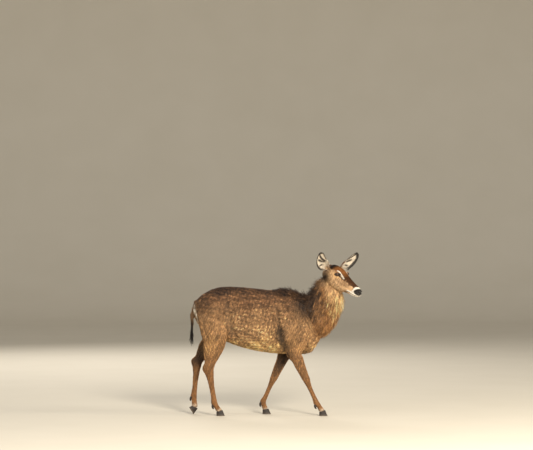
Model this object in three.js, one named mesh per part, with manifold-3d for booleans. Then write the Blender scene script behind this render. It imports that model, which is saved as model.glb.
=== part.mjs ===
// A life-size female waterbuck at a walk, with its head turned to its right.
// Millimetres, +X forward, +Y to the animal's left, +Z up, with the floor at z = 0.
// Each form is a tube of superellipse sections along a smooth line. Forms are joined, and each is then
// cut back from what it meets by a thin gap, so that every named piece is a closed body of its own.
import * as THREE from 'three';
import { mergeVertices } from 'three/addons/utils/BufferGeometryUtils.js';
import Module from 'manifold-3d';

const wasm = await Module();
wasm.setup();

const GAP = 0.3;
const LEFT = 1;
const RIGHT = -1;
const DEG = Math.PI / 180;
const HAIR = 0.02;
const Y_AXIS = new THREE.Vector3(0, 1, 0);
const Z_AXIS = new THREE.Vector3(0, 0, 1);

// Finishes
const COAT = finish(0x84664a, 0.9);
const NECK_COAT = finish(0x765a41, 0.95);
const FACE = finish(0x7a5336, 0.9);
const EAR = finish(0x8a6b50, 0.9);
const LEG = finish(0x5e4027, 0.85);
const TAIL = finish(0x33271d, 0.95);
const HORN = finish(0x1d1815, 0.5);
const EYE = finish(0x120c08, 0.1);

// Trunk sections from rump to chest: place along x, height of the back and of the belly,
// half width, squareness and how much narrower the back is than the belly.
const TRUNK = [
  [-772, 1092, 930, 66, 0.95, 0],
  [-730, 1140, 860, 118, 0.95, 0],
  [-655, 1190, 790, 156, 0.95, -0.02],
  [-560, 1226, 735, 180, 0.95, -0.05],
  [-460, 1237, 698, 192, 0.95, -0.1],
  [-340, 1232, 655, 206, 0.95, -0.12],
  [-200, 1220, 618, 222, 0.95, -0.12],
  [-60, 1204, 597, 222, 0.95, -0.14],
  [60, 1201, 588, 200, 0.95, -0.2],
  [160, 1191, 586, 172, 0.95, -0.24],
  [260, 1150, 588, 148, 0.95, -0.2],
  [345, 1122, 622, 120, 0.95, -0.1],
  [415, 1076, 704, 84, 0.95, 0],
];
// Muscles and hollows of the trunk's sides: place along x and height, their spreads, how far they stand out.
const TRUNK_RELIEF = [
  { x: 212, z: 880, reach: 95, rise: 150, out: 44 },
  { x: 150, z: 1040, reach: 80, rise: 110, out: 14 },
  { x: 130, z: 720, reach: 90, rise: 80, out: 22 },
  { x: -612, z: 930, reach: 120, rise: 170, out: 40 },
  { x: -500, z: 1180, reach: 60, rise: 46, out: 9 },
  { x: -430, z: 990, reach: 60, rise: 120, out: -12 },
  { x: 30, z: 900, reach: 50, rise: 190, out: -8 },
  { x: -200, z: 850, reach: 150, rise: 160, out: 8 },
];

// Neck, from inside the chest to inside the skull: centre, reach to the nape and to the throat,
// half width. The hair stands further out at the throat than at the nape.
const NECK = [
  { at: [215, 0, 850], nape: 150, throat: 120, half: 84, napeHair: 0, throatHair: 0 },
  { at: [300, 0, 908], nape: 172, throat: 190, half: 110, napeHair: 8, throatHair: 26 },
  { at: [374, -2, 968], nape: 162, throat: 182, half: 116, napeHair: 34, throatHair: 46 },
  { at: [434, -8, 1040], nape: 140, throat: 152, half: 106, napeHair: 48, throatHair: 62 },
  { at: [484, -20, 1132], nape: 118, throat: 134, half: 93, napeHair: 52, throatHair: 66 },
  { at: [522, -34, 1226], nape: 98, throat: 114, half: 84, napeHair: 46, throatHair: 50 },
  { at: [550, -46, 1300], nape: 82, throat: 92, half: 76, napeHair: 26, throatHair: 24 },
  { at: [570, -56, 1348], nape: 64, throat: 66, half: 64, napeHair: 4, throatHair: 4 },
];
const NECK_SIDE_HAIR = 0.55;

// Locks of the neck: the share of the hair that is solid core, then rows and locks in a row, the stretch
// of the neck they are rooted on, how far each hangs, in rows of the table above, and its greatest size.
const CORE_HAIR = 0.4;
const NECK_LOCK = { rows: 7, perRow: 10, from: 6.3, to: 1.7, hang: 1.5, width: 28, thickness: 8 };

// Head: where the back of the skull is, how it is turned, and its sections from skull to nose, as
// place along the head, height of the top and of the underside, half width, squareness, narrowing.
const HEAD_AT = new THREE.Vector3(512, -30, 1396);
const HEAD_YAW = -47 * DEG;
const HEAD_PITCH = 27.5 * DEG;
const HEAD_ROLL = -1 * DEG;
const HEAD = [
  [0, 55, -76, 58, 0.95, 0],
  [41, 77, -104, 76, 0.95, 0.04],
  [96, 85, -123, 83, 0.95, 0.08],
  [150, 85, -126, 84, 0.95, 0.12],
  [198, 75, -117, 80, 0.95, 0.14],
  [252, 62, -98, 66, 0.92, 0.1],
  [312, 51, -78, 54, 0.88, 0.02],
  [371, 43, -65, 49, 0.85, -0.04],
  [420, 36, -58, 48, 0.82, -0.06],
  [450, 24, -48, 41, 0.85, 0],
];
// Swellings and hollows of the head: place along it, angle from the top, their spreads, height.
const HEAD_RELIEF = [
  { along: 172, angle: 52, reach: 27, spread: 15, height: 10 },
  { along: 182, angle: 78, reach: 22, spread: 13, height: -6 },
  { along: 105, angle: 116, reach: 48, spread: 30, height: 8 },
  { along: 232, angle: 96, reach: 38, spread: 12, height: 4 },
  { along: 302, angle: 78, reach: 40, spread: 26, height: -4 },
  { along: 432, angle: 62, reach: 17, spread: 22, height: 5 },
  { along: 408, angle: 122, reach: 38, spread: 15, height: 4 },
  { along: 62, angle: 0, reach: 34, spread: 40, height: 3 },
];
// Eyes: place and radius, the way the lids open (ahead, out, up) and how steeply the slit rises to the front.
const EYE_PLACE = [173, 64, 44];
const EYE_RADIUS = 21;
const EYE_LOOK = [0.42, 0.88, 0.16];
const EYE_SLANT = 24 * DEG;
const LID_ROLL = 4;
const MOUTH_CORNER = 335;

// Ears: base, length, greatest width and the share of the length where it lies, how blunt the outline is, wall,
// which way they point (side, up, back), the bow along them and how far their backs bulge.
const EAR_BASE = [54, 79, 42];
const EAR_LENGTH = 240;
const EAR_WIDTH = 122;
const EAR_WIDEST = 0.52;
const EAR_BLUNTNESS = 2.4;
const EAR_WALL = 5;
const EAR_WAY = [0.75, 0.66, 0.06];
const EAR_BOW = 28;
const EAR_BULGE = 15.6;

// Leg girths, as: bone, share along it, reach forward, reach back, half width, distance from the middle.
const FORE_GIRTHS = [
  [0, 0.2, 50, 64, 30, 84],
  [0, 0.6, 92, 100, 50, 122],
  [0, 1, 104, 118, 62, 136],
  [1, 0.5, 100, 110, 68, 138],
  [1, 1, 78, 74, 58, 132],
  [2, 0.3, 60, 54, 47, 125],
  [2, 0.6, 48, 47, 40, 118],
  [2, 0.85, 41, 40, 36, 114],
  [2, 1, 38, 36, 36, 112],
  [3, 0.12, 31, 32, 31, 110],
  [3, 0.32, 23, 26, 25, 108],
  [3, 0.55, 21, 24, 23, 107],
  [3, 0.8, 22, 26, 26, 106],
  [3, 1, 27, 33, 32, 106],
  [4, 0.5, 24, 26, 28, 106],
  [4, 1, 29, 31, 33, 106],
];
const HIND_GIRTHS = [
  [0, 0.3, 90, 90, 40, 90],
  [0, 0.7, 134, 134, 76, 114],
  [0, 1, 144, 140, 90, 124],
  [1, 0.6, 126, 118, 84, 129],
  [1, 1, 106, 104, 72, 126],
  [2, 0.3, 92, 92, 60, 120],
  [2, 0.55, 70, 74, 50, 114],
  [2, 0.78, 50, 58, 42, 108],
  [2, 0.97, 46, 68, 38, 104],
  [3, 0.12, 40, 48, 35, 102],
  [3, 0.28, 32, 36, 30, 100],
  [3, 0.55, 25, 29, 25, 99],
  [3, 0.8, 25, 28, 26, 98],
  [3, 1, 29, 34, 32, 98],
  [4, 0.5, 25, 27, 28, 98],
  [4, 1, 30, 32, 34, 98],
];
const SHOULDER_TOP = [112, 1126];
const FOREARM = 290;
const FORE_CANNON = 250;
const HIND_CANNON = 333;
const PASTERN = 84;

// Hoof: length of the sole ahead of and behind the coronet's middle, its height, one claw's half width.
const TOE = 52;
const HEEL = 29;
const HOOF_HEIGHT = 46;
const CLAW_HALF = 15;
const CLAW_CLEFT = 2.2;

// The walk. Angles are from straight down, forward positive, in degrees.
const FORE_POSE = {
  [RIGHT]: { shoulder: [246, 850], elbow: [170, 610], forearm: 24.5, cannon: 24.5, pastern: 36 },
  [LEFT]: { shoulder: [222, 850], elbow: [98, 610], forearm: -24, cannon: -24, pastern: 16 },
};
const HIND_POSE = {
  [RIGHT]: { hip: [-616, 1085], thigh: [-600, 900], stifle: [-586, 700], hock: [-640, 444], cannon: 9.6 },
  [LEFT]: { hip: [-616, 1085], thigh: [-612, 900], stifle: [-606, 715], hock: [-755, 500], cannon: -6 },
};
const HIND_PASTERN = { [RIGHT]: 32, [LEFT]: 6 };
const LIFTED_HEEL = 58 * DEG;
const TOE_SINK = 1.5;
const FORE_CUT = 585;
const HIND_CUT = 690;

// Tail: centre line in side view, half thickness of its core and how far the tuft stands out from it.
const TAIL_LINE = [
  [-752, 1088, 30, 0],
  [-784, 1020, 24, 0],
  [-800, 940, 19, 1],
  [-806, 860, 14, 5],
  [-807, 790, 10, 11],
  [-803, 728, 6, 11],
  [-797, 690, 3, 5],
];
const TAIL_LOCK = { rows: 3, perRow: 4, from: 2.6, to: 4.2, hang: -1.6, width: 11, thickness: 4 };

function finish(colour, roughness) {
  return new THREE.MeshStandardMaterial({ color: colour, roughness, metalness: 0 });
}

// A smooth value through rows of numbers (uniform Catmull-Rom, ends mirrored), at t from 0 to the last row.
function smoothRow(rows, t) {
  const last = rows.length - 1;
  const i = Math.min(Math.max(Math.floor(t), 0), last - 1);
  const f = t - i;
  return rows[i].map((b, k) => {
    const c = rows[i + 1][k];
    const a = i > 0 ? rows[i - 1][k] : 2 * b - c;
    const d = i + 2 <= last ? rows[i + 2][k] : 2 * c - b;
    const bend = 2 * a - 5 * b + 4 * c - d;
    return 0.5 * (2 * b + (c - a) * f + bend * f * f + (3 * b - a - 3 * c + d) * f * f * f);
  });
}

// A form is rows of [x, y, z, up, down, half, squareness, skew], with the sideways direction at each end.
// Where its line bends hard, its sections are held part or all of the way square to a steady direction.
function frameAt(form, t) {
  const last = form.rows.length - 1;
  const row = smoothRow(form.rows, t);
  const ahead = smoothRow(form.rows, Math.min(t + 0.05, last));
  const behind = smoothRow(form.rows, Math.max(t - 0.05, 0));
  const along = new THREE.Vector3(ahead[0] - behind[0], ahead[1] - behind[1], ahead[2] - behind[2]).normalize();
  if (form.steady) along.lerp(form.steady, form.hold).normalize();
  const side = form.side.clone().lerp(form.endSide ?? form.side, t / last);
  side.addScaledVector(along, -side.dot(along)).normalize();
  return { row, along, side, up: new THREE.Vector3().crossVectors(along, side) };
}

// The point of a form's section at an angle: 0 is the left side, 90 degrees its top.
function sectionPoint(form, frame, angle, scale, offset, grow) {
  const [x, y, z, up, down, half, power, skew] = frame.row;
  const c = Math.cos(angle);
  const s = Math.sin(angle);
  const relief = form.relief ? form.relief(frame.row, angle) : 0;
  const extra = grow + relief;
  const across = Math.sign(c) * Math.abs(c) ** power * (1 + skew * s) * (half + extra) * scale;
  const reach = Math.sign(s) * Math.abs(s) ** power * ((s > 0 ? up : down) + extra) * scale;
  return new THREE.Vector3(x, y, z)
    .addScaledVector(frame.side, across)
    .addScaledVector(frame.up, reach)
    .addScaledVector(frame.along, offset);
}

// The closed tube of a form: rings along it, and a rounded end of the given length at each end.
function tube(form, sides, perSpan, domes, grow = 0) {
  const last = form.rows.length - 1;
  const rings = [];
  const domeRings = sides > 8 ? 3 : 1;
  for (let k = domeRings; k > 0; k -= 1) {
    const turn = (k / (domeRings + 1)) * 90 * DEG;
    rings.push([0, Math.cos(turn), -Math.sin(turn) * domes[0]]);
  }
  const steps = Math.round(last * perSpan);
  for (let k = 0; k <= steps; k += 1) rings.push([(k / steps) * last, 1, 0]);
  for (let k = 1; k <= domeRings; k += 1) {
    const turn = (k / (domeRings + 1)) * 90 * DEG;
    rings.push([last, Math.cos(turn), Math.sin(turn) * domes[1]]);
  }
  const points = [];
  for (const [t, scale, offset] of rings) {
    const frame = frameAt(form, t);
    const shift = offset + Math.sign(offset) * grow;
    for (let j = 0; j < sides; j += 1) {
      points.push(sectionPoint(form, frame, (j / sides) * 360 * DEG, scale, shift, grow));
    }
  }
  const poles = [
    [0, -domes[0] - grow],
    [last, domes[1] + grow],
  ];
  for (const [t, offset] of poles) {
    const frame = frameAt(form, t);
    points.push(new THREE.Vector3(...frame.row).addScaledVector(frame.along, offset));
  }
  return solidOfRings(points, rings.length, sides);
}

// A solid of rings of points, each ring turning left about the way along: either the last ring
// joins the first, or both ends close on poles, which are the last two points.
function solidOfRings(points, count, sides, loop = false) {
  const index = [];
  for (let i = 0; i < (loop ? count : count - 1); i += 1) {
    for (let j = 0; j < sides; j += 1) {
      const next = (j + 1) % sides;
      const [a, b] = [i * sides + j, i * sides + next];
      const [c, d] = [a, b].map((corner) => (corner + sides) % (count * sides));
      index.push(a, b, d, a, d, c);
    }
  }
  const [startPole, endPole, last] = [count * sides, count * sides + 1, (count - 1) * sides];
  for (let j = 0; j < sides && !loop; j += 1) {
    const next = (j + 1) % sides;
    index.push(startPole, next, j, endPole, last + j, last + next);
  }
  const geometry = new THREE.BufferGeometry().setFromPoints(points);
  geometry.setIndex(index);
  return solidOf(geometry);
}

function solidOf(geometry) {
  return new wasm.Manifold(
    new wasm.Mesh({
      numProp: 3,
      vertProperties: new Float32Array(geometry.getAttribute('position').array),
      triVerts: new Uint32Array(geometry.index.array),
    }),
  );
}

// A three.js solid with its doubled seam points merged, placed by a matrix.
function closedSolid(geometry, matrix) {
  geometry.deleteAttribute('normal');
  geometry.deleteAttribute('uv');
  return solidOf(mergeVertices(geometry.applyMatrix4(matrix), 1e-4));
}

function largest(solid) {
  return solid.decompose().reduce((best, one) => (one.volume() > best.volume() ? one : best));
}

function mirrored(angle) {
  return Math.abs(((angle / DEG - 90 + 540) % 360) - 180);
}

// A repeatable spread of numbers from 0 to 1 for the unevenness of hair.
function scatter(n) {
  const v = Math.sin(n * 12.9898 + 4.1) * 43758.5453;
  return v - Math.floor(v);
}

// One lock: flat, tapering and bent, rooted under the core's surface and ending at the hair's full reach.
// formAt gives the form for a share of the hair; the lock runs from one place along it to another.
function lock(formAt, [fromT, fromAngle], [toT, toAngle], width, thickness) {
  const stages = [
    { share: 0, hair: 0.05, broad: 0.8 },
    { share: 0.34, hair: 0.7, broad: 1 },
    { share: 0.7, hair: 0.97, broad: 0.7 },
    { share: 0.97, hair: 1, broad: 0.16 },
  ];
  const places = stages.map(({ share, hair }) => {
    const form = formAt(hair);
    const frame = frameAt(form, fromT + (toT - fromT) * share);
    const angle = fromAngle + (toAngle - fromAngle) * share;
    const point = sectionPoint(form, frame, angle, 1, 0, 0);
    return { point, beside: sectionPoint(form, frame, angle + 4 * DEG, 1, 0, 0).sub(point) };
  });
  const points = places.flatMap(({ point, beside }, k) => {
    const [before, after] = [places[Math.max(k - 1, 0)].point, places[Math.min(k + 1, 3)].point];
    const along = after.clone().sub(before).normalize();
    const across = beside.clone().addScaledVector(along, -beside.dot(along)).normalize();
    const outward = new THREE.Vector3().crossVectors(along, across);
    const broad = stages[k].broad;
    return [
      point.clone().addScaledVector(across, width * broad),
      point.clone().addScaledVector(outward, thickness * broad),
      point.clone().addScaledVector(across, -width * broad),
      point.clone().addScaledVector(outward, -thickness * broad),
    ];
  });
  const ends = [places[0], places[3]].map(({ point }) => point.clone());
  return solidOfRings([...points, ...ends], 4, 4);
}

// All the locks of one kind, in staggered rows round a form, each a little unlike the next.
function locks(formAt, { rows, perRow, from, to, hang, width, thickness }) {
  const all = [];
  for (let row = 0; row < rows; row += 1) {
    for (let k = 0; k < perRow; k += 1) {
      const n = row * perRow + k;
      const t = from + ((to - from) * (row + 0.6 * (scatter(n) - 0.5))) / (rows - 1);
      const angle = ((k + 0.5 * (row % 2) + 0.5 * (scatter(n + 500) - 0.5)) / perRow) * 360 * DEG;
      const swing = (scatter(n + 900) - 0.5) * 14 * DEG;
      const reach = hang * (0.85 + 0.35 * scatter(n + 300));
      const size = 0.85 + 0.35 * scatter(n + 700);
      all.push(lock(formAt, [t, angle], [Math.max(t - reach, 0), angle + swing], width * size, thickness * size));
    }
  }
  return all;
}

// Trunk
const trunkForm = {
  rows: TRUNK.map(([x, top, bottom, half, power, skew]) => {
    const middle = (top + bottom) / 2;
    return [x, 0, middle, top - middle, middle - bottom, half, power, skew];
  }),
  side: Y_AXIS,
  steady: new THREE.Vector3(1, 0, 0),
  hold: 1,
  relief: (row, angle) => {
    const side = Math.abs(Math.cos(angle));
    const height = row[2] + (Math.sin(angle) > 0 ? row[3] : row[4]) * Math.sin(angle);
    return TRUNK_RELIEF.reduce((sum, mark) => {
      const a = (row[0] - mark.x) / mark.reach;
      const b = (height - mark.z) / mark.rise;
      return sum + side * mark.out * Math.exp(-a * a - b * b);
    }, 0);
  },
};

// Legs: joints in side view, then a row for each girth.
function legForm(joints, girths, side) {
  const rows = girths.map(([bone, share, front, back, half, out]) => {
    const [from, to] = [joints[bone], joints[bone + 1]];
    const x = from[0] + (to[0] - from[0]) * share;
    const z = from[1] + (to[1] - from[1]) * share;
    return [x, side * out, z, front, back, half, 1, 0];
  });
  return { rows, side: Y_AXIS, steady: new THREE.Vector3(0, 0, -1), hold: 0.55 };
}

function stepFrom([x, z], length, degrees) {
  return [x + length * Math.sin(degrees * DEG), z - length * Math.cos(degrees * DEG)];
}

function foreJoints(side) {
  const pose = FORE_POSE[side];
  const knee = stepFrom(pose.elbow, FOREARM, pose.forearm);
  const fetlock = stepFrom(knee, FORE_CANNON, pose.cannon);
  return [SHOULDER_TOP, pose.shoulder, pose.elbow, knee, fetlock, stepFrom(fetlock, PASTERN, pose.pastern)];
}

function hindJoints(side) {
  const pose = HIND_POSE[side];
  const fetlock = stepFrom(pose.hock, HIND_CANNON, pose.cannon);
  return [pose.hip, pose.thigh, pose.stifle, pose.hock, fetlock, stepFrom(fetlock, PASTERN, HIND_PASTERN[side])];
}

const LEGS = [
  { name: 'fore_right', side: RIGHT, joints: foreJoints(RIGHT), girths: FORE_GIRTHS, cut: FORE_CUT, tilt: 0 },
  { name: 'fore_left', side: LEFT, joints: foreJoints(LEFT), girths: FORE_GIRTHS, cut: FORE_CUT, tilt: 0 },
  { name: 'hind_right', side: RIGHT, joints: hindJoints(RIGHT), girths: HIND_GIRTHS, cut: HIND_CUT, tilt: 0 },
  { name: 'hind_left', side: LEFT, joints: hindJoints(LEFT), girths: HIND_GIRTHS, cut: HIND_CUT, tilt: LIFTED_HEEL },
];
for (const leg of LEGS) leg.form = legForm(leg.joints, leg.girths, leg.side);

// The hoof's own axes: toe is the way the sole points, rise is square to the sole.
function hoofAxes(leg) {
  return {
    toe: new THREE.Vector3(Math.cos(leg.tilt), 0, -Math.sin(leg.tilt)),
    rise: new THREE.Vector3(Math.sin(leg.tilt), 0, Math.cos(leg.tilt)),
  };
}

// Where the leg's line meets the top of the hoof: its height follows from the hoof's size and tilt.
function coronetOf(leg) {
  const [x] = leg.joints[5];
  const { toe, rise } = hoofAxes(leg);
  const height = leg.tilt > 0 ? -toe.z * TOE + rise.z * HOOF_HEIGHT - TOE_SINK : HOOF_HEIGHT;
  const out = leg.girths[leg.girths.length - 1][5];
  return new THREE.Vector3(x, leg.side * out, height);
}

// The plane between the leg and its claws, as a normal that points down into the hoof.
function coronetNormal(leg) {
  const [fetlock, coronet] = [leg.joints[4], leg.joints[5]];
  const down = new THREE.Vector3(coronet[0] - fetlock[0], 0, coronet[1] - fetlock[1]).normalize();
  return down.sub(hoofAxes(leg).rise).normalize();
}

for (const leg of LEGS) {
  const coronet = coronetOf(leg);
  const last = leg.form.rows[leg.form.rows.length - 1];
  last[2] = coronet.z;
  leg.coronet = coronet;
  leg.normal = coronetNormal(leg);
}

function legTube(leg, grow = 0) {
  return tube(leg.form, 16, 1.35, [30, 20], grow);
}

function legPiece(leg, trunkCutter) {
  const { normal, coronet } = leg;
  const lower = legTube(leg)
    .trimByPlane([0, 0, -1], -leg.cut + GAP)
    .trimByPlane([-normal.x, -normal.y, -normal.z], -normal.dot(coronet));
  return largest(lower.subtract(trunkCutter));
}

// One claw of a hoof, lofted from the coronet's plane down to the sole.
function clawPiece(leg, inward) {
  const { toe, rise } = hoofAxes(leg);
  const { coronet, normal } = leg;
  const topForward = new THREE.Vector3().crossVectors(normal, Y_AXIS).negate().normalize();
  if (topForward.dot(toe) < 0) topForward.negate();
  const top = coronet.clone().addScaledVector(normal, GAP);
  const sole = coronet.clone().addScaledVector(rise, -HOOF_HEIGHT);
  const sides = 14;
  const levels = 3;
  const middle = inward * (CLAW_HALF + CLAW_CLEFT / 2);
  const points = [];
  for (let level = 0; level <= levels; level += 1) {
    const share = level / levels;
    for (let j = 0; j < sides; j += 1) {
      const angle = (j / sides) * 360 * DEG;
      const c = Math.cos(angle);
      const s = -Math.sin(angle);
      const taper = 1 - 0.3 * Math.max(c, 0) ** 2;
      const upper = top
        .clone()
        .addScaledVector(topForward, 30 * c)
        .addScaledVector(Y_AXIS, middle + (CLAW_HALF - 0.5) * s * taper);
      const soleLength = c > 0 ? TOE : HEEL;
      const lower = sole
        .clone()
        .addScaledVector(toe, soleLength * c)
        .addScaledVector(Y_AXIS, middle + CLAW_HALF * s * taper - inward * 3 * Math.max(c, 0));
      points.push(upper.lerp(lower, share));
    }
  }
  const centre = (level) =>
    points.slice(level * sides, (level + 1) * sides).reduce((sum, p) => sum.add(p), new THREE.Vector3()).divideScalar(sides);
  points.push(centre(0), centre(levels));
  return solidOfRings(points, levels + 1, sides).trimByPlane([0, 0, 1], 0);
}

// A dewclaw: a blunt cone behind the fetlock, seated on the leg.
function dewclawPiece(leg, inward) {
  const [fetlock, coronet] = [leg.joints[4], leg.joints[5]];
  const down = new THREE.Vector3(coronet[0] - fetlock[0], 0, coronet[1] - fetlock[1]).normalize();
  const back = new THREE.Vector3(down.z, 0, -down.x);
  if (back.x > 0) back.negate();
  const out = leg.side * leg.girths[leg.girths.length - 3][5];
  const root = new THREE.Vector3(fetlock[0], out + inward * 15, fetlock[1]).addScaledVector(back, 20);
  const rows = [
    [0, 0, 11],
    [10, 8, 11],
    [16, 22, 9],
    [17, 34, 5],
  ].map(([away, below, radius]) => {
    const p = root.clone().addScaledVector(back, away).addScaledVector(down, below);
    return [p.x, p.y, p.z, radius, radius, radius, 1, 0];
  });
  return largest(tube({ rows, side: Y_AXIS }, 6, 1, [4, 4]).subtract(legTube(leg, GAP)));
}

// Neck
const HEAD_TURN = new THREE.Matrix4()
  .makeRotationZ(HEAD_YAW)
  .multiply(new THREE.Matrix4().makeRotationY(HEAD_PITCH))
  .multiply(new THREE.Matrix4().makeRotationX(HEAD_ROLL));
const headMatrix = HEAD_TURN.clone().setPosition(HEAD_AT);
const headSide = Y_AXIS.clone().transformDirection(HEAD_TURN);

function headPoint(along, side, up) {
  return new THREE.Vector3(along, side, up).applyMatrix4(headMatrix);
}

function neckForm(hair) {
  const rows = NECK.map(({ at, nape, throat, half, napeHair, throatHair }) => [
    ...at,
    nape + hair * napeHair,
    throat + hair * throatHair,
    half + hair * NECK_SIDE_HAIR * throatHair,
    0.95,
    0.02,
  ]);
  return { rows, side: Y_AXIS, endSide: headSide };
}

// Head
function headRelief(along, angle) {
  const fromTop = mirrored(angle);
  return HEAD_RELIEF.reduce((sum, mark) => {
    const a = (along - mark.along) / mark.reach;
    const b = (fromTop - mark.angle) / mark.spread;
    return sum + mark.height * Math.exp(-a * a - b * b);
  }, 0);
}

const headForm = {
  rows: HEAD.map(([along, top, bottom, half, power, skew]) => {
    const middle = (top + bottom) / 2;
    const place = headPoint(along, 0, middle);
    return [place.x, place.y, place.z, top - middle, middle - bottom, half, power, skew, along];
  }),
  side: headSide,
  relief: (row, angle) => headRelief(row[8], angle),
};

function headTube(grow = 0) {
  return tube(headForm, 22, 2.2, [36, 17], grow);
}

function eyeball(side, grow = 0) {
  const [along, out, up] = EYE_PLACE;
  const ball = new THREE.SphereGeometry(EYE_RADIUS + grow, 16, 10);
  return closedSolid(ball, new THREE.Matrix4().setPosition(headPoint(along, side * out, up)));
}

// The rims of the lids: a thin roll that closes on itself round an almond on the eyeball.
function lids(side) {
  const [along, out, up] = EYE_PLACE;
  const look = new THREE.Vector3(EYE_LOOK[0], side * EYE_LOOK[1], EYE_LOOK[2]).normalize();
  const slit = new THREE.Vector3(Math.cos(EYE_SLANT), 0, Math.sin(EYE_SLANT));
  slit.addScaledVector(look, -slit.dot(look)).normalize();
  const rise = new THREE.Vector3().crossVectors(slit, look).multiplyScalar(side);
  const steps = 14;
  const sides = 5;
  const reach = EYE_RADIUS + 0.5;
  const centre = headPoint(along, side * out, up);
  const line = Array.from({ length: steps }, (_, k) => {
    const turn = (k / steps) * 360 * DEG;
    const wide = 62 * DEG * Math.cos(turn);
    const high = (Math.sin(turn) > 0 ? 38 : 34) * DEG * Math.sin(turn);
    const place = new THREE.Vector3(along, side * out, up)
      .addScaledVector(look, reach * Math.cos(wide) * Math.cos(high))
      .addScaledVector(slit, reach * Math.sin(wide))
      .addScaledVector(rise, reach * Math.sin(high) * Math.cos(wide));
    return headPoint(place.x, place.y, place.z);
  });
  const points = line.flatMap((place, k) => {
    const along = line[(k + 1) % steps].clone().sub(line[(k + steps - 1) % steps]).normalize();
    const away = place.clone().sub(centre);
    away.addScaledVector(along, -away.dot(along)).normalize();
    const across = new THREE.Vector3().crossVectors(along, away);
    return Array.from({ length: sides }, (_, j) => {
      const angle = ((j + 0.5) / sides) * 360 * DEG;
      return place
        .clone()
        .addScaledVector(away, LID_ROLL * Math.cos(angle))
        .addScaledVector(across, LID_ROLL * Math.sin(angle));
    });
  });
  return solidOfRings(points, steps, sides, true);
}

// The gap between the lips: a thin curved blade through the muzzle from the corner to the front.
function mouthBlade() {
  const thickness = 1.8;
  const line = new THREE.CatmullRomCurve3([
    new THREE.Vector3(MOUTH_CORNER, -47, 0),
    new THREE.Vector3(MOUTH_CORNER + 34, -39, 0),
    new THREE.Vector3(MOUTH_CORNER + 76, -35, 0),
    new THREE.Vector3(500, -29, 0),
  ]).getPoints(6);
  const shape = new THREE.Shape();
  shape.moveTo(line[0].x, line[0].y - thickness / 2);
  for (const p of line) shape.lineTo(p.x, p.y - thickness / 2);
  for (const p of line.reverse()) shape.lineTo(p.x, p.y + thickness / 2);
  const blade = new THREE.ExtrudeGeometry(shape, { depth: 200, bevelEnabled: false });
  const stand = new THREE.Matrix4().makeRotationX(90 * DEG).setPosition(0, 100, 0);
  return closedSolid(blade, headMatrix.clone().multiply(stand));
}

function nostril(side) {
  const hole = new THREE.SphereGeometry(1, 12, 8);
  const place = new THREE.Matrix4()
    .makeTranslation(455, side * 24, -2)
    .multiply(new THREE.Matrix4().makeRotationZ(side * 38 * DEG))
    .multiply(new THREE.Matrix4().makeRotationX(side * 24 * DEG))
    .multiply(new THREE.Matrix4().makeScale(19, 5, 11));
  return closedSolid(hole, headMatrix.clone().multiply(place));
}

// One ear: a blunt leaf of wall, rolled into a tube at its base and opening towards its tip.
// Each section is an arc of wall, followed out along its back and home along its hollow.
function earPiece(side, headCutter) {
  const root = headPoint(EAR_BASE[0], side * EAR_BASE[1], EAR_BASE[2]);
  const way = new THREE.Vector3(-EAR_WAY[2], side * EAR_WAY[0], EAR_WAY[1]).transformDirection(headMatrix);
  const open = new THREE.Vector3(1, 0, 0.1).transformDirection(headMatrix);
  open.addScaledVector(way, -open.dot(way)).normalize();
  const across = new THREE.Vector3().crossVectors(way, open);
  const outward = across.clone().multiplyScalar(across.dot(root.clone().sub(headPoint(EAR_BASE[0], 0, 0))) > 0 ? 1 : -1);
  const arcSteps = 8;
  const levels = 12;
  const crowding = 1.35;
  const sides = 2 * (arcSteps + 1);
  const points = [];
  for (let level = 0; level <= levels; level += 1) {
    const t = 1 - (1 - level / levels) ** crowding;
    const { half, curl, lean } = earSection(t);
    const radius = half / Math.sin(Math.min(curl, 90 * DEG));
    const centre = root
      .clone()
      .addScaledVector(way, t * EAR_LENGTH)
      .addScaledVector(outward, EAR_BOW * Math.sin(Math.PI * t))
      .addScaledVector(open, lean - (radius * (1 - Math.cos(curl))) / 2);
    const wall = EAR_WALL * (1 - 0.45 * t);
    for (const [from, to, r] of [
      [curl, -curl, radius],
      [-curl, curl, Math.max(radius - wall, radius * 0.4)],
    ]) {
      for (let k = 0; k <= arcSteps; k += 1) {
        const turn = from + ((to - from) * k) / arcSteps;
        points.push(
          centre
            .clone()
            .addScaledVector(open, radius - r * Math.cos(turn))
            .addScaledVector(across, r * Math.sin(turn)),
        );
      }
    }
  }
  points.push(midpoint(points, 0, arcSteps, sides), midpoint(points, levels, arcSteps, sides));
  return largest(solidOfRings(points, levels + 1, sides).subtract(headCutter));
}

// Half width, how far the wall curls round to each side, and the bow of the ear's back, at a share of its length.
function earSection(t) {
  const fromWidest = Math.abs(t - EAR_WIDEST) / (t < EAR_WIDEST ? EAR_WIDEST : 1 - EAR_WIDEST);
  const swell = Math.sqrt(1 - Math.min(fromWidest, 1) ** EAR_BLUNTNESS);
  const half = Math.max((EAR_WIDTH / 2) * swell * (0.34 + 0.66 * Math.min(t / 0.3, 1)), 5);
  const curl = (150 - 92 * Math.min(t / 0.4, 1) - 10 * t) * DEG;
  return { half, curl, lean: -EAR_BULGE * Math.sin(Math.PI * t) };
}

// The middle of an ear section's wall, between its back and its hollow.
function midpoint(points, level, arcSteps, sides) {
  const start = level * sides;
  const back = points[start + Math.floor(arcSteps / 2)];
  const hollow = points[start + arcSteps + 1 + Math.ceil(arcSteps / 2)];
  return back.clone().lerp(hollow, 0.5);
}

// Tail
function tailForm(hair) {
  const rows = TAIL_LINE.map(([x, z, core, tuft]) => {
    const reach = core + hair * tuft;
    return [x, 0, z, reach * 0.85, reach * 0.85, reach, 1, 0];
  });
  return { rows, side: Y_AXIS };
}

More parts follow.
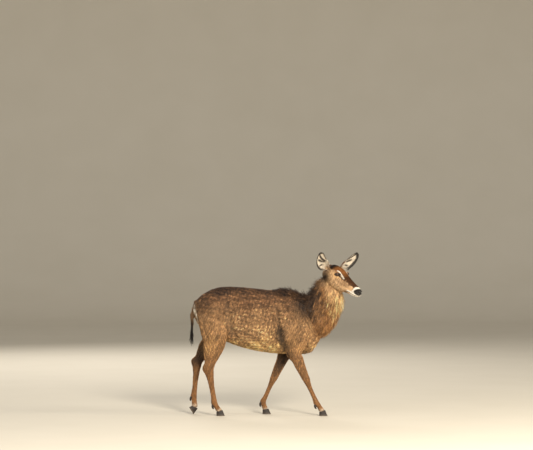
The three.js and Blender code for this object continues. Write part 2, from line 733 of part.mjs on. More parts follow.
// Joining and parting
const trunkWhole = (grow = 0) => {
  const uppers = LEGS.map((leg) => legTube(leg, grow).trimByPlane([0, 0, 1], leg.cut));
  return wasm.Manifold.union([tube(trunkForm, 28, 1.75, [26, 40], grow), ...uppers]);
};
const trunkCutter = trunkWhole(GAP);
const headCutter = headTube(GAP);

const group = new THREE.Group();

// The solid's triangles with every edge shorter than a hair's width drawn together to one point.
// Two triangles that come to lie on each other this way are both left out, so the surface stays closed.
function withoutShortEdges({ numProp, vertProperties, triVerts, numVert }) {
  const point = (i) => new THREE.Vector3().fromArray(vertProperties, i * numProp);
  const stand = Array.from({ length: numVert }, (_, i) => i);
  const root = (i) => {
    let at = i;
    while (stand[at] !== at) at = stand[at];
    return at;
  };
  for (let k = 0; k < triVerts.length; k += 3) {
    for (let e = 0; e < 3; e += 1) {
      const [a, b] = [triVerts[k + e], triVerts[k + ((e + 1) % 3)]];
      if (point(a).distanceTo(point(b)) < HAIR) stand[root(b)] = root(a);
    }
  }
  const kept = new Map();
  for (let k = 0; k < triVerts.length; k += 3) {
    const corners = [root(triVerts[k]), root(triVerts[k + 1]), root(triVerts[k + 2])];
    if (new Set(corners).size < 3) continue;
    const key = [...corners].sort((a, b) => a - b).join();
    if (kept.has(key)) kept.delete(key);
    else kept.set(key, corners);
  }
  const geometry = new THREE.BufferGeometry().setFromPoints(stand.map((_, i) => point(i)));
  geometry.setIndex([...kept.values()].flat());
  return geometry;
}

function addPiece(name, solid, material) {
  const geometry = withoutShortEdges(solid.getMesh());
  const mesh = new THREE.Mesh(geometry, material);
  mesh.name = name;
  group.add(mesh);
}

addPiece('torso', largest(trunkWhole()), COAT);
const neckWhole = wasm.Manifold.union([tube(neckForm(CORE_HAIR), 22, 1.6, [60, 20]), ...locks(neckForm, NECK_LOCK)]);
addPiece('neck', largest(neckWhole.subtract(trunkCutter).subtract(headCutter)), NECK_COAT);

const head = wasm.Manifold.union([headTube(), lids(LEFT), lids(RIGHT)])
  .subtract(eyeball(LEFT, GAP))
  .subtract(eyeball(RIGHT, GAP))
  .subtract(mouthBlade())
  .subtract(nostril(LEFT))
  .subtract(nostril(RIGHT));
addPiece('head', largest(head), FACE);

for (const [word, side] of [
  ['left', LEFT],
  ['right', RIGHT],
]) {
  addPiece(`eye_${word}`, eyeball(side), EYE);
  addPiece(`ear_${word}`, earPiece(side, headCutter), EAR);
}

const tailWhole = wasm.Manifold.union([tube(tailForm(0), 10, 1.5, [20, 8]), ...locks(tailForm, TAIL_LOCK)]);
addPiece('tail', largest(tailWhole.subtract(trunkCutter)), TAIL);

for (const leg of LEGS) {
  addPiece(`leg_${leg.name}`, legPiece(leg, trunkWhole(GAP)), LEG);
  for (const [word, inward] of [
    ['outer', leg.side],
    ['inner', -leg.side],
  ]) {
    addPiece(`claw_${leg.name}_${word}`, clawPiece(leg, inward), HORN);
    addPiece(`dewclaw_${leg.name}_${word}`, dewclawPiece(leg, inward), HORN);
  }
}

// The origin is under the middle of the whole animal, on the floor.
const box = new THREE.Box3().setFromObject(group);
const middle = box.getCenter(new THREE.Vector3());
group.position.set(-middle.x, -middle.y, -box.min.z);

export default group;
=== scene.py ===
import math

import bpy
import numpy as np
from mathutils import Matrix, Vector


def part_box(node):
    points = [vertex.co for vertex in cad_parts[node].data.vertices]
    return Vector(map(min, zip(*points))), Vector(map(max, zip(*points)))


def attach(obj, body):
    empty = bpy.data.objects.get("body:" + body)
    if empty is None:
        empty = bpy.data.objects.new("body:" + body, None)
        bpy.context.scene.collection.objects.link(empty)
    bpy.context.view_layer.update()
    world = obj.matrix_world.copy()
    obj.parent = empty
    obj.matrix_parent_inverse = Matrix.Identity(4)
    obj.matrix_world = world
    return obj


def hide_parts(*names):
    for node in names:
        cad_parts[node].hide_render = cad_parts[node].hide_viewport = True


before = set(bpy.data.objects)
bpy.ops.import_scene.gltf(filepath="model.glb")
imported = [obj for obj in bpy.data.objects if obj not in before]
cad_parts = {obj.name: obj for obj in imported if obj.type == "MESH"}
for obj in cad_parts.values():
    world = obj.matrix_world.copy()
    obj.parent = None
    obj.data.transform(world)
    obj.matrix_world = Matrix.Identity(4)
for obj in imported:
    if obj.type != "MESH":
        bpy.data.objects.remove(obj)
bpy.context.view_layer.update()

MM = 0.001
DEG = math.pi / 180
SEED = 20
LEFT, RIGHT = 1, -1


# Small helpers on arrays


def unit(v):
    """Each row over its own length."""
    return v / np.maximum(np.linalg.norm(v, axis=-1, keepdims=True), 1e-9)


def dot(a, b):
    """Row by row, the product of two lists of directions."""
    return (a * b).sum(-1, keepdims=True)


def ease(low, high, x):
    """0 below low, 1 above high, and a smooth 3s^2 - 2s^3 between."""
    s = np.clip((x - low) / (high - low), 0, 1)
    return s * s * (3 - 2 * s)


def bell(x, middle, spread):
    """1 at the middle, falling as exp(-((x - middle) / spread)^2)."""
    return np.exp(-(((x - middle) / spread) ** 2))


def wander(points, size, seed, waves=7):
    """A smooth uneven field of about unit spread: a sum of plane waves about size mm long."""
    rng = np.random.default_rng(seed)
    total = np.zeros(len(points))
    for _ in range(waves):
        way = unit(rng.normal(size=3)) * 2 * math.pi / (size * rng.uniform(0.7, 1.4))
        total += np.sin(points @ way + rng.uniform(0, 2 * math.pi))
    return total / math.sqrt(waves / 2)


def near_line(points, line):
    """Distance of each point from a chain of straight stretches."""
    line = np.array(line, float)
    best = np.full(len(points), 1e9)
    for start, end in zip(line[:-1], line[1:]):
        way = end - start
        share = np.clip((points - start) @ way / (way @ way), 0, 1)
        best = np.minimum(best, np.linalg.norm(points - start - share[:, None] * way, axis=1))
    return best


# The animal's own sizes, as in its solids

# Trunk: place along x, height of the back and belly, half width, squareness, narrowing of the back.
TRUNK = [
    (-772, 1092, 930, 66, 0.95, 0),
    (-730, 1140, 860, 118, 0.95, 0),
    (-655, 1190, 790, 156, 0.95, -0.02),
    (-560, 1226, 735, 180, 0.95, -0.05),
    (-460, 1237, 698, 192, 0.95, -0.1),
    (-340, 1232, 655, 206, 0.95, -0.12),
    (-200, 1220, 618, 222, 0.95, -0.12),
    (-60, 1204, 597, 222, 0.95, -0.14),
    (60, 1201, 588, 200, 0.95, -0.2),
    (160, 1191, 586, 172, 0.95, -0.24),
    (260, 1150, 588, 148, 0.95, -0.2),
    (345, 1122, 622, 120, 0.95, -0.1),
    (415, 1076, 704, 84, 0.95, 0),
]
# Muscles and hollows of the sides: x, height, their spreads, how far they stand out.
TRUNK_RELIEF = [
    (212, 880, 95, 150, 44),
    (150, 1040, 80, 110, 14),
    (130, 720, 90, 80, 22),
    (-612, 930, 120, 170, 40),
    (-500, 1180, 60, 46, 9),
    (-430, 990, 60, 120, -12),
    (30, 900, 50, 190, -8),
    (-200, 850, 150, 160, 8),
]
# Neck: centre, reach to the nape and to the throat, half width, hair at the nape and at the throat.
NECK = [
    (215, 0, 850, 150, 120, 84, 0, 0),
    (300, 0, 908, 172, 190, 110, 8, 26),
    (374, -2, 968, 162, 182, 116, 34, 46),
    (434, -8, 1040, 140, 152, 106, 48, 62),
    (484, -20, 1132, 118, 134, 93, 52, 66),
    (522, -34, 1226, 98, 114, 84, 46, 50),
    (550, -46, 1300, 82, 92, 76, 26, 24),
    (570, -56, 1348, 64, 66, 64, 4, 4),
]
# The hair's reach at the neck's sides as a share of the throat's, and how much of the hair the skin takes up.
NECK_SIDE_HAIR = 0.55
NECK_SKIN_HAIR = 0.3
NECK_SQUARENESS, NECK_NARROWING = 0.95, 0.02

# Head: place along it, height of the top and of the underside, half width, squareness, narrowing.
HEAD_AT = np.array([512.0, -30.0, 1396.0])
HEAD_YAW, HEAD_PITCH, HEAD_ROLL = -47 * DEG, 27.5 * DEG, -1 * DEG
HEAD = [
    (0, 55, -76, 58, 0.95, 0),
    (41, 77, -104, 76, 0.95, 0.04),
    (96, 85, -123, 83, 0.95, 0.08),
    (150, 85, -126, 84, 0.95, 0.12),
    (198, 75, -117, 80, 0.95, 0.14),
    (252, 62, -98, 66, 0.92, 0.1),
    (312, 51, -78, 54, 0.88, 0.02),
    (371, 43, -65, 49, 0.85, -0.04),
    (420, 36, -58, 48, 0.82, -0.06),
    (450, 24, -48, 41, 0.85, 0),
]
# Swellings and hollows of the head: place along it, angle from the top, their spreads, height.
HEAD_RELIEF = [
    (172, 52, 27, 15, 10),
    (182, 78, 22, 13, -6),
    (105, 116, 48, 30, 8),
    (232, 96, 38, 12, 4),
    (302, 78, 40, 26, -4),
    (432, 62, 17, 22, 5),
    (408, 122, 38, 15, 4),
    (62, 0, 34, 40, 3),
]
# Eyes: place, radius, the way the lids open (ahead, out, up) and how steeply their slit rises to the front.
EYE_PLACE = np.array([173.0, 64.0, 44.0])
EYE_RADIUS = 21.0
EYE_GAP = 0.6
EYE_LOOK = np.array([0.42, 0.88, 0.16])
EYE_SLANT = 24 * DEG
# Lids: their thickness, how far they are set in, and half the angles of their opening along, above and below.
LID = 3.4
LID_SINK = 1.5
LID_WIDE, LID_HIGH, LID_LOW = 62 * DEG, 38 * DEG, 33 * DEG
# The line of the mouth as places along the head and up.
MOUTH = [(335, -47), (369, -39), (411, -35), (500, -29)]
NOSTRIL = np.array([453.0, 25.0, 0.0])

# Ears: base, sizes, the share of the length where they are widest, how blunt they are, and their way
# (side, up, back).
EAR_BASE = np.array([54.0, 79.0, 42.0])
EAR_LENGTH, EAR_WIDTH, EAR_WALL, EAR_BOW, EAR_BULGE = 240.0, 122.0, 5.0, 28.0, 15.6
EAR_WIDEST, EAR_BLUNTNESS = 0.52, 2.4
EAR_WAY = np.array([0.75, 0.66, 0.06])

# Leg girths: bone, share along it, reach forward, reach back, half width, distance from the middle.
FORE_GIRTHS = [
    (0, 0.2, 50, 64, 30, 84),
    (0, 0.6, 92, 100, 50, 122),
    (0, 1, 104, 118, 62, 136),
    (1, 0.5, 100, 110, 68, 138),
    (1, 1, 78, 74, 58, 132),
    (2, 0.3, 60, 54, 47, 125),
    (2, 0.6, 48, 47, 40, 118),
    (2, 0.85, 41, 40, 36, 114),
    (2, 1, 38, 36, 36, 112),
    (3, 0.12, 31, 32, 31, 110),
    (3, 0.32, 23, 26, 25, 108),
    (3, 0.55, 21, 24, 23, 107),
    (3, 0.8, 22, 26, 26, 106),
    (3, 1, 27, 33, 32, 106),
    (4, 0.5, 24, 26, 28, 106),
    (4, 1, 29, 31, 33, 106),
]
HIND_GIRTHS = [
    (0, 0.3, 90, 90, 40, 90),
    (0, 0.7, 134, 134, 76, 114),
    (0, 1, 144, 140, 90, 124),
    (1, 0.6, 126, 118, 84, 129),
    (1, 1, 106, 104, 72, 126),
    (2, 0.3, 92, 92, 60, 120),
    (2, 0.55, 70, 74, 50, 114),
    (2, 0.78, 50, 58, 42, 108),
    (2, 0.97, 46, 68, 38, 104),
    (3, 0.12, 40, 48, 35, 102),
    (3, 0.28, 32, 36, 30, 100),
    (3, 0.55, 25, 29, 25, 99),
    (3, 0.8, 25, 28, 26, 98),
    (3, 1, 29, 34, 32, 98),
    (4, 0.5, 25, 27, 28, 98),
    (4, 1, 30, 32, 34, 98),
]
# How far a leg's sections are held level rather than square to the bone.
LEG_HOLD = 0.55
SHOULDER_TOP = (112, 1126)
FOREARM, FORE_CANNON, HIND_CANNON, PASTERN = 290, 250, 333, 84
TOE, HEEL, HOOF_HEIGHT, CLAW_HALF, CLAW_CLEFT = 52.0, 29.0, 46.0, 15.0, 2.2
LIFTED_HEEL, TOE_SINK = 58 * DEG, 1.5

# The walk: joints in side view, and angles in degrees from straight down, forward positive.
# Fore legs: shoulder, elbow, and the angles of the forearm, the cannon bone and the pastern.
FORE_POSE = {
    RIGHT: ((246, 850), (170, 610), 24.5, 24.5, 36),
    LEFT: ((222, 850), (98, 610), -24, -24, 16),
}
# Hind legs: thigh, stifle, hock, and the angles of the cannon bone and the pastern.
HIND_POSE = {
    RIGHT: ((-600, 900), (-586, 700), (-640, 444), 9.6, 32),
    LEFT: ((-612, 900), (-606, 715), (-755, 500), -6, 6),
}
HIP = (-616, 1085)

# Tail: centre line in side view and half thickness of its core, and how flat the core is.
TAIL = [
    (-752, 1088, 30),
    (-784, 1020, 24),
    (-800, 940, 19),
    (-806, 860, 14),
    (-807, 790, 10),
    (-803, 728, 6),
    (-797, 690, 3),
]
TAIL_FLATNESS = 0.85

# How far the skin lies inside the coat's outline.
BODY_COAT = 7.0
NECK_COAT = 2.0
LEG_COAT = 2.6
FACE_COAT = 1.6

# Shares of a smoothing round: first towards the neighbours' mean, then back from it.
DRAW_IN, PUSH_BACK = 0.5, -0.53

# Size of the fused skin's squares on the body and on the head.
BODY_GRAIN = 9.5
HEAD_GRAIN = 3.0


# Places in the frame

HEAD_TURN = np.array(
    Matrix.Rotation(HEAD_YAW, 3, "Z")
    @ Matrix.Rotation(HEAD_PITCH, 3, "Y")
    @ Matrix.Rotation(HEAD_ROLL, 3, "X")
)


def from_head(local):
    """Head places (along, to its left, up) turned by the head's turn and set at the back of the skull."""
    return np.asarray(local, float) @ HEAD_TURN.T + HEAD_AT


def to_head(points):
    """The reverse of from_head."""
    return (points - HEAD_AT) @ HEAD_TURN


def eye_place(side):
    """The middle of the eye on a side, in the head's places."""
    return EYE_PLACE * (1, side, 1)


def on_left(local):
    """The head's places with both sides laid on the left one."""
    return local * (1, 0, 1) + np.abs(local) * (0, 1, 0)


def frame_shift():
    """The tables' origin in the frame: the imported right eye's middle less its place in the tables."""
    low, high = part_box("eye_right")
    middle = (np.array(low) + np.array(high)) / 2 / MM
    return middle - from_head(eye_place(RIGHT))


SHIFT = frame_shift()


# Forms


def smooth_rows(rows, t):
    """Catmull-Rom through the rows at the places t, with both ends mirrored."""
    ends = np.vstack([2 * rows[0] - rows[1], rows, 2 * rows[-1] - rows[-2]])
    i = np.clip(np.floor(t).astype(int), 0, len(rows) - 2)
    f = (t - i)[:, None]
    a, b, c, d = (ends[i + k] for k in range(4))
    square, cube = 2 * a - 5 * b + 4 * c - d, 3 * b - a - 3 * c + d
    return 0.5 * (2 * b + (c - a) * f + square * f**2 + cube * f**3)


class Form:
    """A tube of superellipse sections along a smooth line.

    Its rows are x, y, z, reach up, reach down, half width, squareness, narrowing of the top, and any
    more. A point of a section is at side * c^p * (1 + narrowing * s) * half + up * s^p * reach, with c and
    s the cosine and sine of its angle, 0 at the left and 90 degrees at the top.
    """

    def __init__(self, rows, side=(0, 1, 0), end_side=None, steady=None, hold=0.0, relief=None):
        self.rows = np.array(rows, float)
        self.last = len(rows) - 1
        self.side = np.array(side, float)
        self.end_side = self.side if end_side is None else np.array(end_side, float)
        self.steady = steady
        self.hold = hold
        self.relief = relief

    def frames(self, t):
        """The row and the directions along, side and up at each place t."""
        row = smooth_rows(self.rows, t)
        ahead = smooth_rows(self.rows, np.minimum(t + 0.05, self.last))
        behind = smooth_rows(self.rows, np.maximum(t - 0.05, 0))
        along = unit(ahead[:, :3] - behind[:, :3])
        if self.steady is not None:
            along = unit(along + (np.array(self.steady, float) - along) * self.hold)
        side = self.side + (self.end_side - self.side) * (t / self.last)[:, None]
        side = unit(side - along * dot(side, along))
        return row, along, side, np.cross(along, side)

    def section(self, t, angle, grow=0.0, scale=1.0, offset=0.0):
        """Points of the sections at t, at an angle.

        They are moved out by grow, drawn in by scale and pushed along by offset.
        """
        row, along, side, up = self.frames(t)
        c, s = np.cos(angle), np.sin(angle)
        extra = grow + (self.relief(row, angle) if self.relief else 0.0)
        height = np.where(s > 0, row[:, 3], row[:, 4])
        across = np.sign(c) * np.abs(c) ** row[:, 6] * (1 + row[:, 7] * s) * (row[:, 5] + extra) * scale
        reach = np.sign(s) * np.abs(s) ** row[:, 6] * (height + extra) * scale
        offset = np.broadcast_to(offset, t.shape)
        return row[:, :3] + side * across[:, None] + up * reach[:, None] + along * offset[:, None]

    def tube(self, rings, sides, domes, grow=0.0, dome_rings=7):
        """Rings along the whole form, closed at each end by a quarter-ellipse dome down to a pole."""
        turn = np.arange(1, dome_rings + 1) / (dome_rings + 1) * math.pi / 2
        zero, full = np.zeros(dome_rings), np.full(dome_rings, float(self.last))
        t = np.concatenate([zero, np.linspace(0, self.last, rings), full])
        scale = np.concatenate([np.cos(turn[::-1]), np.ones(rings), np.cos(turn)])
        start, end = domes[0] + grow, domes[1] + grow
        offset = np.concatenate([-np.sin(turn[::-1]) * start, np.zeros(rings), np.sin(turn) * end])
        count = len(t)
        angle = np.tile(np.arange(sides) / sides * 2 * math.pi, count)
        t, scale, offset = (np.repeat(v, sides) for v in (t, scale, offset))
        points = self.section(t, angle, grow, scale, offset)
        row, along, _, _ = self.frames(np.array([0.0, float(self.last)]))
        poles = row[:, :3] + along * np.array([[-start], [end]])
        return Shell(np.vstack([points, poles]), *ring_faces(count, sides))

    def locate(self, points, samples=72):
        """For each point the nearest place along the form, its angle there, how far it is outside the
        surface, and the form's way there.
        """
        t = np.linspace(0, self.last, samples)
        row, along, side, up = self.frames(t)
        centre = row[:, :3]
        far = (points**2).sum(1)[:, None] - 2 * points @ centre.T + (centre**2).sum(1)[None]
        k = far.argmin(1)
        away = points - centre[k]
        a = (away * side[k]).sum(1)
        b = (away * up[k]).sum(1)
        ahead = (away * along[k]).sum(1)
        reach = np.where(b > 0, row[k, 3], row[k, 4])
        ratio = np.hypot(a / row[k, 5], b / reach)
        step = np.linalg.norm(np.diff(centre, axis=0), axis=1).max()
        over = np.maximum(np.abs(ahead) - step, 0)
        outside = (ratio - 1) * np.minimum(row[k, 5], reach) + over
        place = np.clip(t[k] + ahead / step * (t[1] - t[0]) * (over == 0), 0, self.last)
        return place, np.arctan2(b / reach, a / row[k, 5]), outside, along[k]


class Shell:
    """Points in mm, with four-sided and three-sided faces that point outwards."""

    def __init__(self, points, quads=None, tris=None):
        self.points = np.asarray(points, float)
        self.quads = np.zeros((0, 4), int) if quads is None else np.asarray(quads, int)
        self.tris = np.zeros((0, 3), int) if tris is None else np.asarray(tris, int)


def merged(shells):
    """Several shells as one list of points and faces."""
    starts = np.cumsum([0] + [len(s.points) for s in shells[:-1]])
    return Shell(
        np.vstack([s.points for s in shells]),
        np.vstack([s.quads + n for s, n in zip(shells, starts)]),
        np.vstack([s.tris + n for s, n in zip(shells, starts)]),
    )


def ring_faces(rings, sides):
    """Faces between rings of points that turn left about the way along, closed on the last two points."""
    i, j = np.meshgrid(np.arange(rings - 1), np.arange(sides), indexing="ij")
    here, following = i * sides, (i + 1) * sides
    step = (j + 1) % sides
    quads = np.stack([here + j, here + step, following + step, following + j], -1)
    j = np.arange(sides)
    step = (j + 1) % sides
    last, pole = (rings - 1) * sides, rings * sides
    start = np.stack([np.full(sides, pole), step, j], -1)
    end = np.stack([np.full(sides, pole + 1), last + j, last + step], -1)
    return quads.reshape(-1, 4), np.vstack([start, end])


def trunk_relief(row, angle):
    """Each swelling is |cos angle| * height * a bell along x and a bell up z."""
    height = row[:, 2] + np.where(np.sin(angle) > 0, row[:, 3], row[:, 4]) * np.sin(angle)
    total = sum(
        out * bell(row[:, 0], x, reach) * bell(height, z, rise) for x, z, reach, rise, out in TRUNK_RELIEF
    )
    return np.abs(np.cos(angle)) * total


def degrees_from_top(angle):
    """How far an angle round a form is from its top, 0 to 180 degrees to either side."""
    return np.abs((angle / DEG - 90 + 540) % 360 - 180)


def head_relief(row, angle):
    """Each swelling is a bell along the head times a bell in the angle from its top."""
    from_top = degrees_from_top(angle)
    return sum(
        height * bell(row[:, 8], along, reach) * bell(from_top, at, spread)
        for along, at, reach, spread, height in HEAD_RELIEF
    )


def trunk_form():
    rows = [
        (x, 0, (up + low) / 2, (up - low) / 2, (up - low) / 2, half, power, skew)
        for x, up, low, half, power, skew in TRUNK
    ]
    return Form(rows, steady=(1, 0, 0), hold=1, relief=trunk_relief)


def neck_form():
    hair = NECK_SKIN_HAIR
    rows = []
    for x, y, z, nape, throat, half, nape_hair, throat_hair in NECK:
        reaches = (nape + hair * nape_hair, throat + hair * throat_hair)
        half_width = half + hair * NECK_SIDE_HAIR * throat_hair
        rows.append((x, y, z, *reaches, half_width, NECK_SQUARENESS, NECK_NARROWING))
    return Form(rows, end_side=HEAD_TURN[:, 1])


def head_form():
    rows = []
    for along, top, low, half, power, skew in HEAD:
        x, y, z = from_head((along, 0, (top + low) / 2))
        rows.append((x, y, z, (top - low) / 2, (top - low) / 2, half, power, skew, along))
    return Form(rows, side=HEAD_TURN[:, 1], relief=head_relief)


def tail_form():
    return Form([(x, 0, z, TAIL_FLATNESS * r, TAIL_FLATNESS * r, r, 1, 0) for x, z, r in TAIL])


def step_from(place, length, degrees):
    """The place a length away in side view, at an angle from straight down, forward positive."""
    return (place[0] + length * math.sin(degrees * DEG), place[1] - length * math.cos(degrees * DEG))


class Leg:
    """One leg: its joints in side view, its form, and how its hoof is set on the floor."""

    def __init__(self, name, side, hind, tilt=0.0):
        self.name = name
        self.side = side
        self.hind = hind
        if hind:
            thigh, stifle, hock, cannon, pastern = HIND_POSE[side]
            fetlock = step_from(hock, HIND_CANNON, cannon)
            joints = [HIP, thigh, stifle, hock, fetlock]
        else:
            shoulder, elbow, forearm, cannon, pastern = FORE_POSE[side]
            knee = step_from(elbow, FOREARM, forearm)
            fetlock = step_from(knee, FORE_CANNON, cannon)
            joints = [SHOULDER_TOP, shoulder, elbow, knee, fetlock]
        joints.append(step_from(fetlock, PASTERN, pastern))
        rows = []
        for bone, share, front, back, half, out in HIND_GIRTHS if hind else FORE_GIRTHS:
            (x0, z0), (x1, z1) = joints[bone], joints[bone + 1]
            place = (x0 + (x1 - x0) * share, side * out, z0 + (z1 - z0) * share)
            rows.append((*place, front, back, half, 1, 0))
        self.toe = np.array([math.cos(tilt), 0, -math.sin(tilt)])
        self.rise = np.array([math.sin(tilt), 0, math.cos(tilt)])
        lifted = -self.toe[2] * TOE + self.rise[2] * HOOF_HEIGHT - TOE_SINK
        self.coronet = np.array([rows[-1][0], rows[-1][1], lifted if tilt else HOOF_HEIGHT])
        rows[-1] = (*self.coronet, *rows[-1][3:])
        self.form = Form(rows, steady=(0, 0, -1), hold=LEG_HOLD)
        (x0, z0), (x1, z1) = joints[-2:]
        self.fetlock = np.array([x0, rows[-3][1], z0])
        self.down = unit(np.array([x1 - x0, 0, z1 - z0]))
        self.normal = unit(self.down - self.rise)


LEGS = [
    Leg("fore_right", RIGHT, False),
    Leg("fore_left", LEFT, False),
    Leg("hind_right", RIGHT, True),
    Leg("hind_left", LEFT, True, LIFTED_HEEL),
]
FORMS = {"trunk": trunk_form(), "neck": neck_form(), "head": head_form(), "tail": tail_form()}
FORMS.update({leg.name: leg.form for leg in LEGS})


# Meshes


def make_object(name, shell):
    """A smooth-shaded Blender object of a shell, placed in the frame by the shift and the scale to metres."""
    mesh = bpy.data.meshes.new(name)
    corners = np.concatenate([shell.quads.ravel(), shell.tris.ravel()]).astype(np.int32)
    sizes = np.concatenate([np.full(len(shell.quads), 4), np.full(len(shell.tris), 3)])
    starts = np.concatenate([[0], np.cumsum(sizes)[:-1]]).astype(np.int32)
    mesh.vertices.add(len(shell.points))
    mesh.vertices.foreach_set("co", ((shell.points + SHIFT) * MM).astype(np.float32).ravel())
    mesh.loops.add(len(corners))
    mesh.loops.foreach_set("vertex_index", corners)
    mesh.polygons.add(len(sizes))
    mesh.polygons.foreach_set("loop_start", starts)
    mesh.update(calc_edges=True)
    mesh.polygons.foreach_set("use_smooth", np.ones(len(sizes), bool))
    ob = bpy.data.objects.new(name, mesh)
    bpy.context.scene.collection.objects.link(ob)
    return ob


def read_shell(mesh):
    """The points in mm and the triangles of a Blender mesh."""
    co = np.empty(len(mesh.vertices) * 3, np.float32)
    mesh.vertices.foreach_get("co", co)
    mesh.calc_loop_triangles()
    tris = np.empty(len(mesh.loop_triangles) * 3, np.int32)
    mesh.loop_triangles.foreach_get("vertices", tris)
    return Shell(co.reshape(-1, 3).astype(float) / MM - SHIFT, tris=tris.reshape(-1, 3))


def finished(ob):
    """The shell of an object with its modifiers applied. The object is removed."""
    graph = bpy.context.evaluated_depsgraph_get()
    mesh = bpy.data.meshes.new_from_object(ob.evaluated_get(graph))
    shell = read_shell(mesh)
    old = ob.data
    bpy.data.objects.remove(ob)
    bpy.data.meshes.remove(old)
    bpy.data.meshes.remove(mesh)
    return shell


def fused(shells, grain):
    """One skin round overlapping closed shells, by a voxel remesh in squares of the given size."""
    ob = make_object("fusing", merged(shells))
    remesh = ob.modifiers.new("fuse", "REMESH")
    remesh.mode = "VOXEL"
    remesh.voxel_size = grain * MM
    remesh.adaptivity = 0
    return finished(ob)


def combined(first, second, operation="UNION"):
    """Two closed shells joined, or the second cut from the first."""
    a, b = make_object("first", first), make_object("second", second)
    boolean = a.modifiers.new("combine", "BOOLEAN")
    boolean.operation = operation
    boolean.solver = "MANIFOLD"
    boolean.object = b
    result = finished(a)
    bpy.data.objects.remove(b)
    return result


class Web:
    """The edges between a shell's points, for averages over neighbours."""

    def __init__(self, shell):
        pairs = np.vstack([shell.tris[:, [0, 1]], shell.tris[:, [1, 2]], shell.tris[:, [2, 0]]])
        self.pairs = np.unique(np.sort(pairs, axis=1), axis=0)
        self.count = len(shell.points)
        self.degree = np.maximum(np.bincount(self.pairs.ravel(), minlength=self.count), 1)

    def mean(self, values):
        """For each point the mean of its neighbours' values."""
        a, b = self.pairs.T
        columns = [
            np.bincount(a, values[b, k], self.count) + np.bincount(b, values[a, k], self.count)
            for k in range(values.shape[1])
        ]
        return np.stack(columns, -1) / self.degree[:, None]

    def spread(self, values, rounds):
        """Values mixed half and half with their neighbours' mean, again and again."""
        for _ in range(rounds):
            values = 0.5 * values + 0.5 * self.mean(values)
        return values

    def relaxed(self, points, rounds, weight=None):
        """Points drawn to their neighbours' mean and then pushed back a little more.

        The push back keeps the limbs' girth.
        """
        weight = 1.0 if weight is None else weight[:, None]
        for step in (DRAW_IN, PUSH_BACK) * rounds:
            points = points + step * weight * (self.mean(points) - points)
        return points


def normals_of(points, tris):
    """Each point's direction outwards: the sum of the cross products of its triangles' sides."""
    a, b, c = (points[tris[:, k]] for k in range(3))
    face = np.cross(b - a, c - a)
    columns = [sum(np.bincount(tris[:, k], face[:, m], len(points)) for k in range(3)) for m in range(3)]
    return unit(np.stack(columns, -1))


def ball(centre, radius, rings=24, sides=36):
    """A sphere of rings between two poles on x."""
    turn = (np.arange(1, rings + 1) / (rings + 1)) * math.pi
    angle = np.arange(sides) / sides * 2 * math.pi
    c = -np.cos(turn)[:, None] * np.ones(sides)
    r = np.sin(turn)[:, None]
    points = np.stack([c, r * np.cos(angle), r * np.sin(angle)], -1).reshape(-1, 3)
    points = np.vstack([points, [(-1, 0, 0), (1, 0, 0)]])
    return Shell(points * radius + np.asarray(centre, float), *ring_faces(rings, sides))


# Head: lids, nostrils, lips and folds


def lid_axes(side):
    """Three directions in the head's places: out through the lids' opening, along its slit, and across it."""
    look = unit(EYE_LOOK * (1, side, 1))
    slit = np.array([math.cos(EYE_SLANT), 0, math.sin(EYE_SLANT)])
    slit = unit(slit - look * (slit @ look))
    return look, slit, np.cross(slit, look) * side


def lid_edge(side, reach, steps=48):
    """Points round the opening of the lids, as an almond at a distance from the eye's middle.

    With w = LID_WIDE * cos(turn) and h = LID_HIGH or LID_LOW * sin(turn), a point is along the slit by
    sin(w), across it by sin(h) * cos(w) and out by cos(w) * cos(h).
    """
    look, slit, rise = lid_axes(side)
    turn = np.arange(steps) / steps * 2 * math.pi
    wide = LID_WIDE * np.cos(turn)
    high = np.where(np.sin(turn) > 0, LID_HIGH, LID_LOW) * np.sin(turn)
    away = np.outer(np.cos(wide) * np.cos(high), look) + np.outer(np.sin(wide), slit)
    away += np.outer(np.sin(high) * np.cos(wide), rise)
    return eye_place(side) + away * reach


# Added to a measure round the eye on its inner side, so that nothing there counts as near.
INNER_SIDE = 9
# The dark skin round the lids: its middle along the slit, half its length and height, and how deep it goes.
ALMOND_MIDDLE, ALMOND_LENGTH, ALMOND_HEIGHT, ALMOND_DEPTH = 3, 34, 19, 12


def lid_measure(local):
    """How far a point lies from the middle of the lids' opening, 1 on their edge: lid_edge reversed."""
    look, slit, rise = lid_axes(LEFT)
    away = unit(on_left(local) - EYE_PLACE)
    wide = np.arcsin(np.clip(away @ slit, -1, 1))
    high = np.arcsin(np.clip(away @ rise / np.maximum(np.cos(wide), 0.05), -1, 1))
    edge = np.hypot(wide / LID_WIDE, high / np.where(high > 0, LID_HIGH, LID_LOW))
    return edge + INNER_SIDE * (away @ look < 0)


def almond(local):
    """1 on the edge of the dark skin round the lids.

    At u along the slit and v across it, it is |u - middle| / half length + (v / half height)^2.
    """
    look, slit, rise = lid_axes(LEFT)
    away = on_left(local) - EYE_PLACE
    edge = np.abs(away @ slit - ALMOND_MIDDLE) / ALMOND_LENGTH + (away @ rise / ALMOND_HEIGHT) ** 2
    return edge + INNER_SIDE * (away @ look < -ALMOND_DEPTH)


def from_eye(local):
    """Distance from the middle of the nearer eye."""
    return np.linalg.norm(on_left(local) - EYE_PLACE, axis=1)


def lid_cutter(side):
    """A cone from the eye's middle out through the lids' opening."""
    rim = lid_edge(side, 3 * EYE_RADIUS)
    steps = len(rim)
    points = np.vstack([rim, [eye_place(side)], [rim.mean(0)]])
    j = np.arange(steps)
    step = (j + 1) % steps
    inner = np.stack([j, step, np.full(steps, steps)], -1)
    outer = np.stack([step, j, np.full(steps, steps + 1)], -1)
    faces = np.vstack([inner, outer])
    return Shell(from_head(points), tris=faces[:, ::-1] if side == RIGHT else faces)


# The reach round the eyes where the fused lids are smoothed in full, and the share elsewhere.
LID_BLEND, FACE_SMOOTHING = 44, 0.25
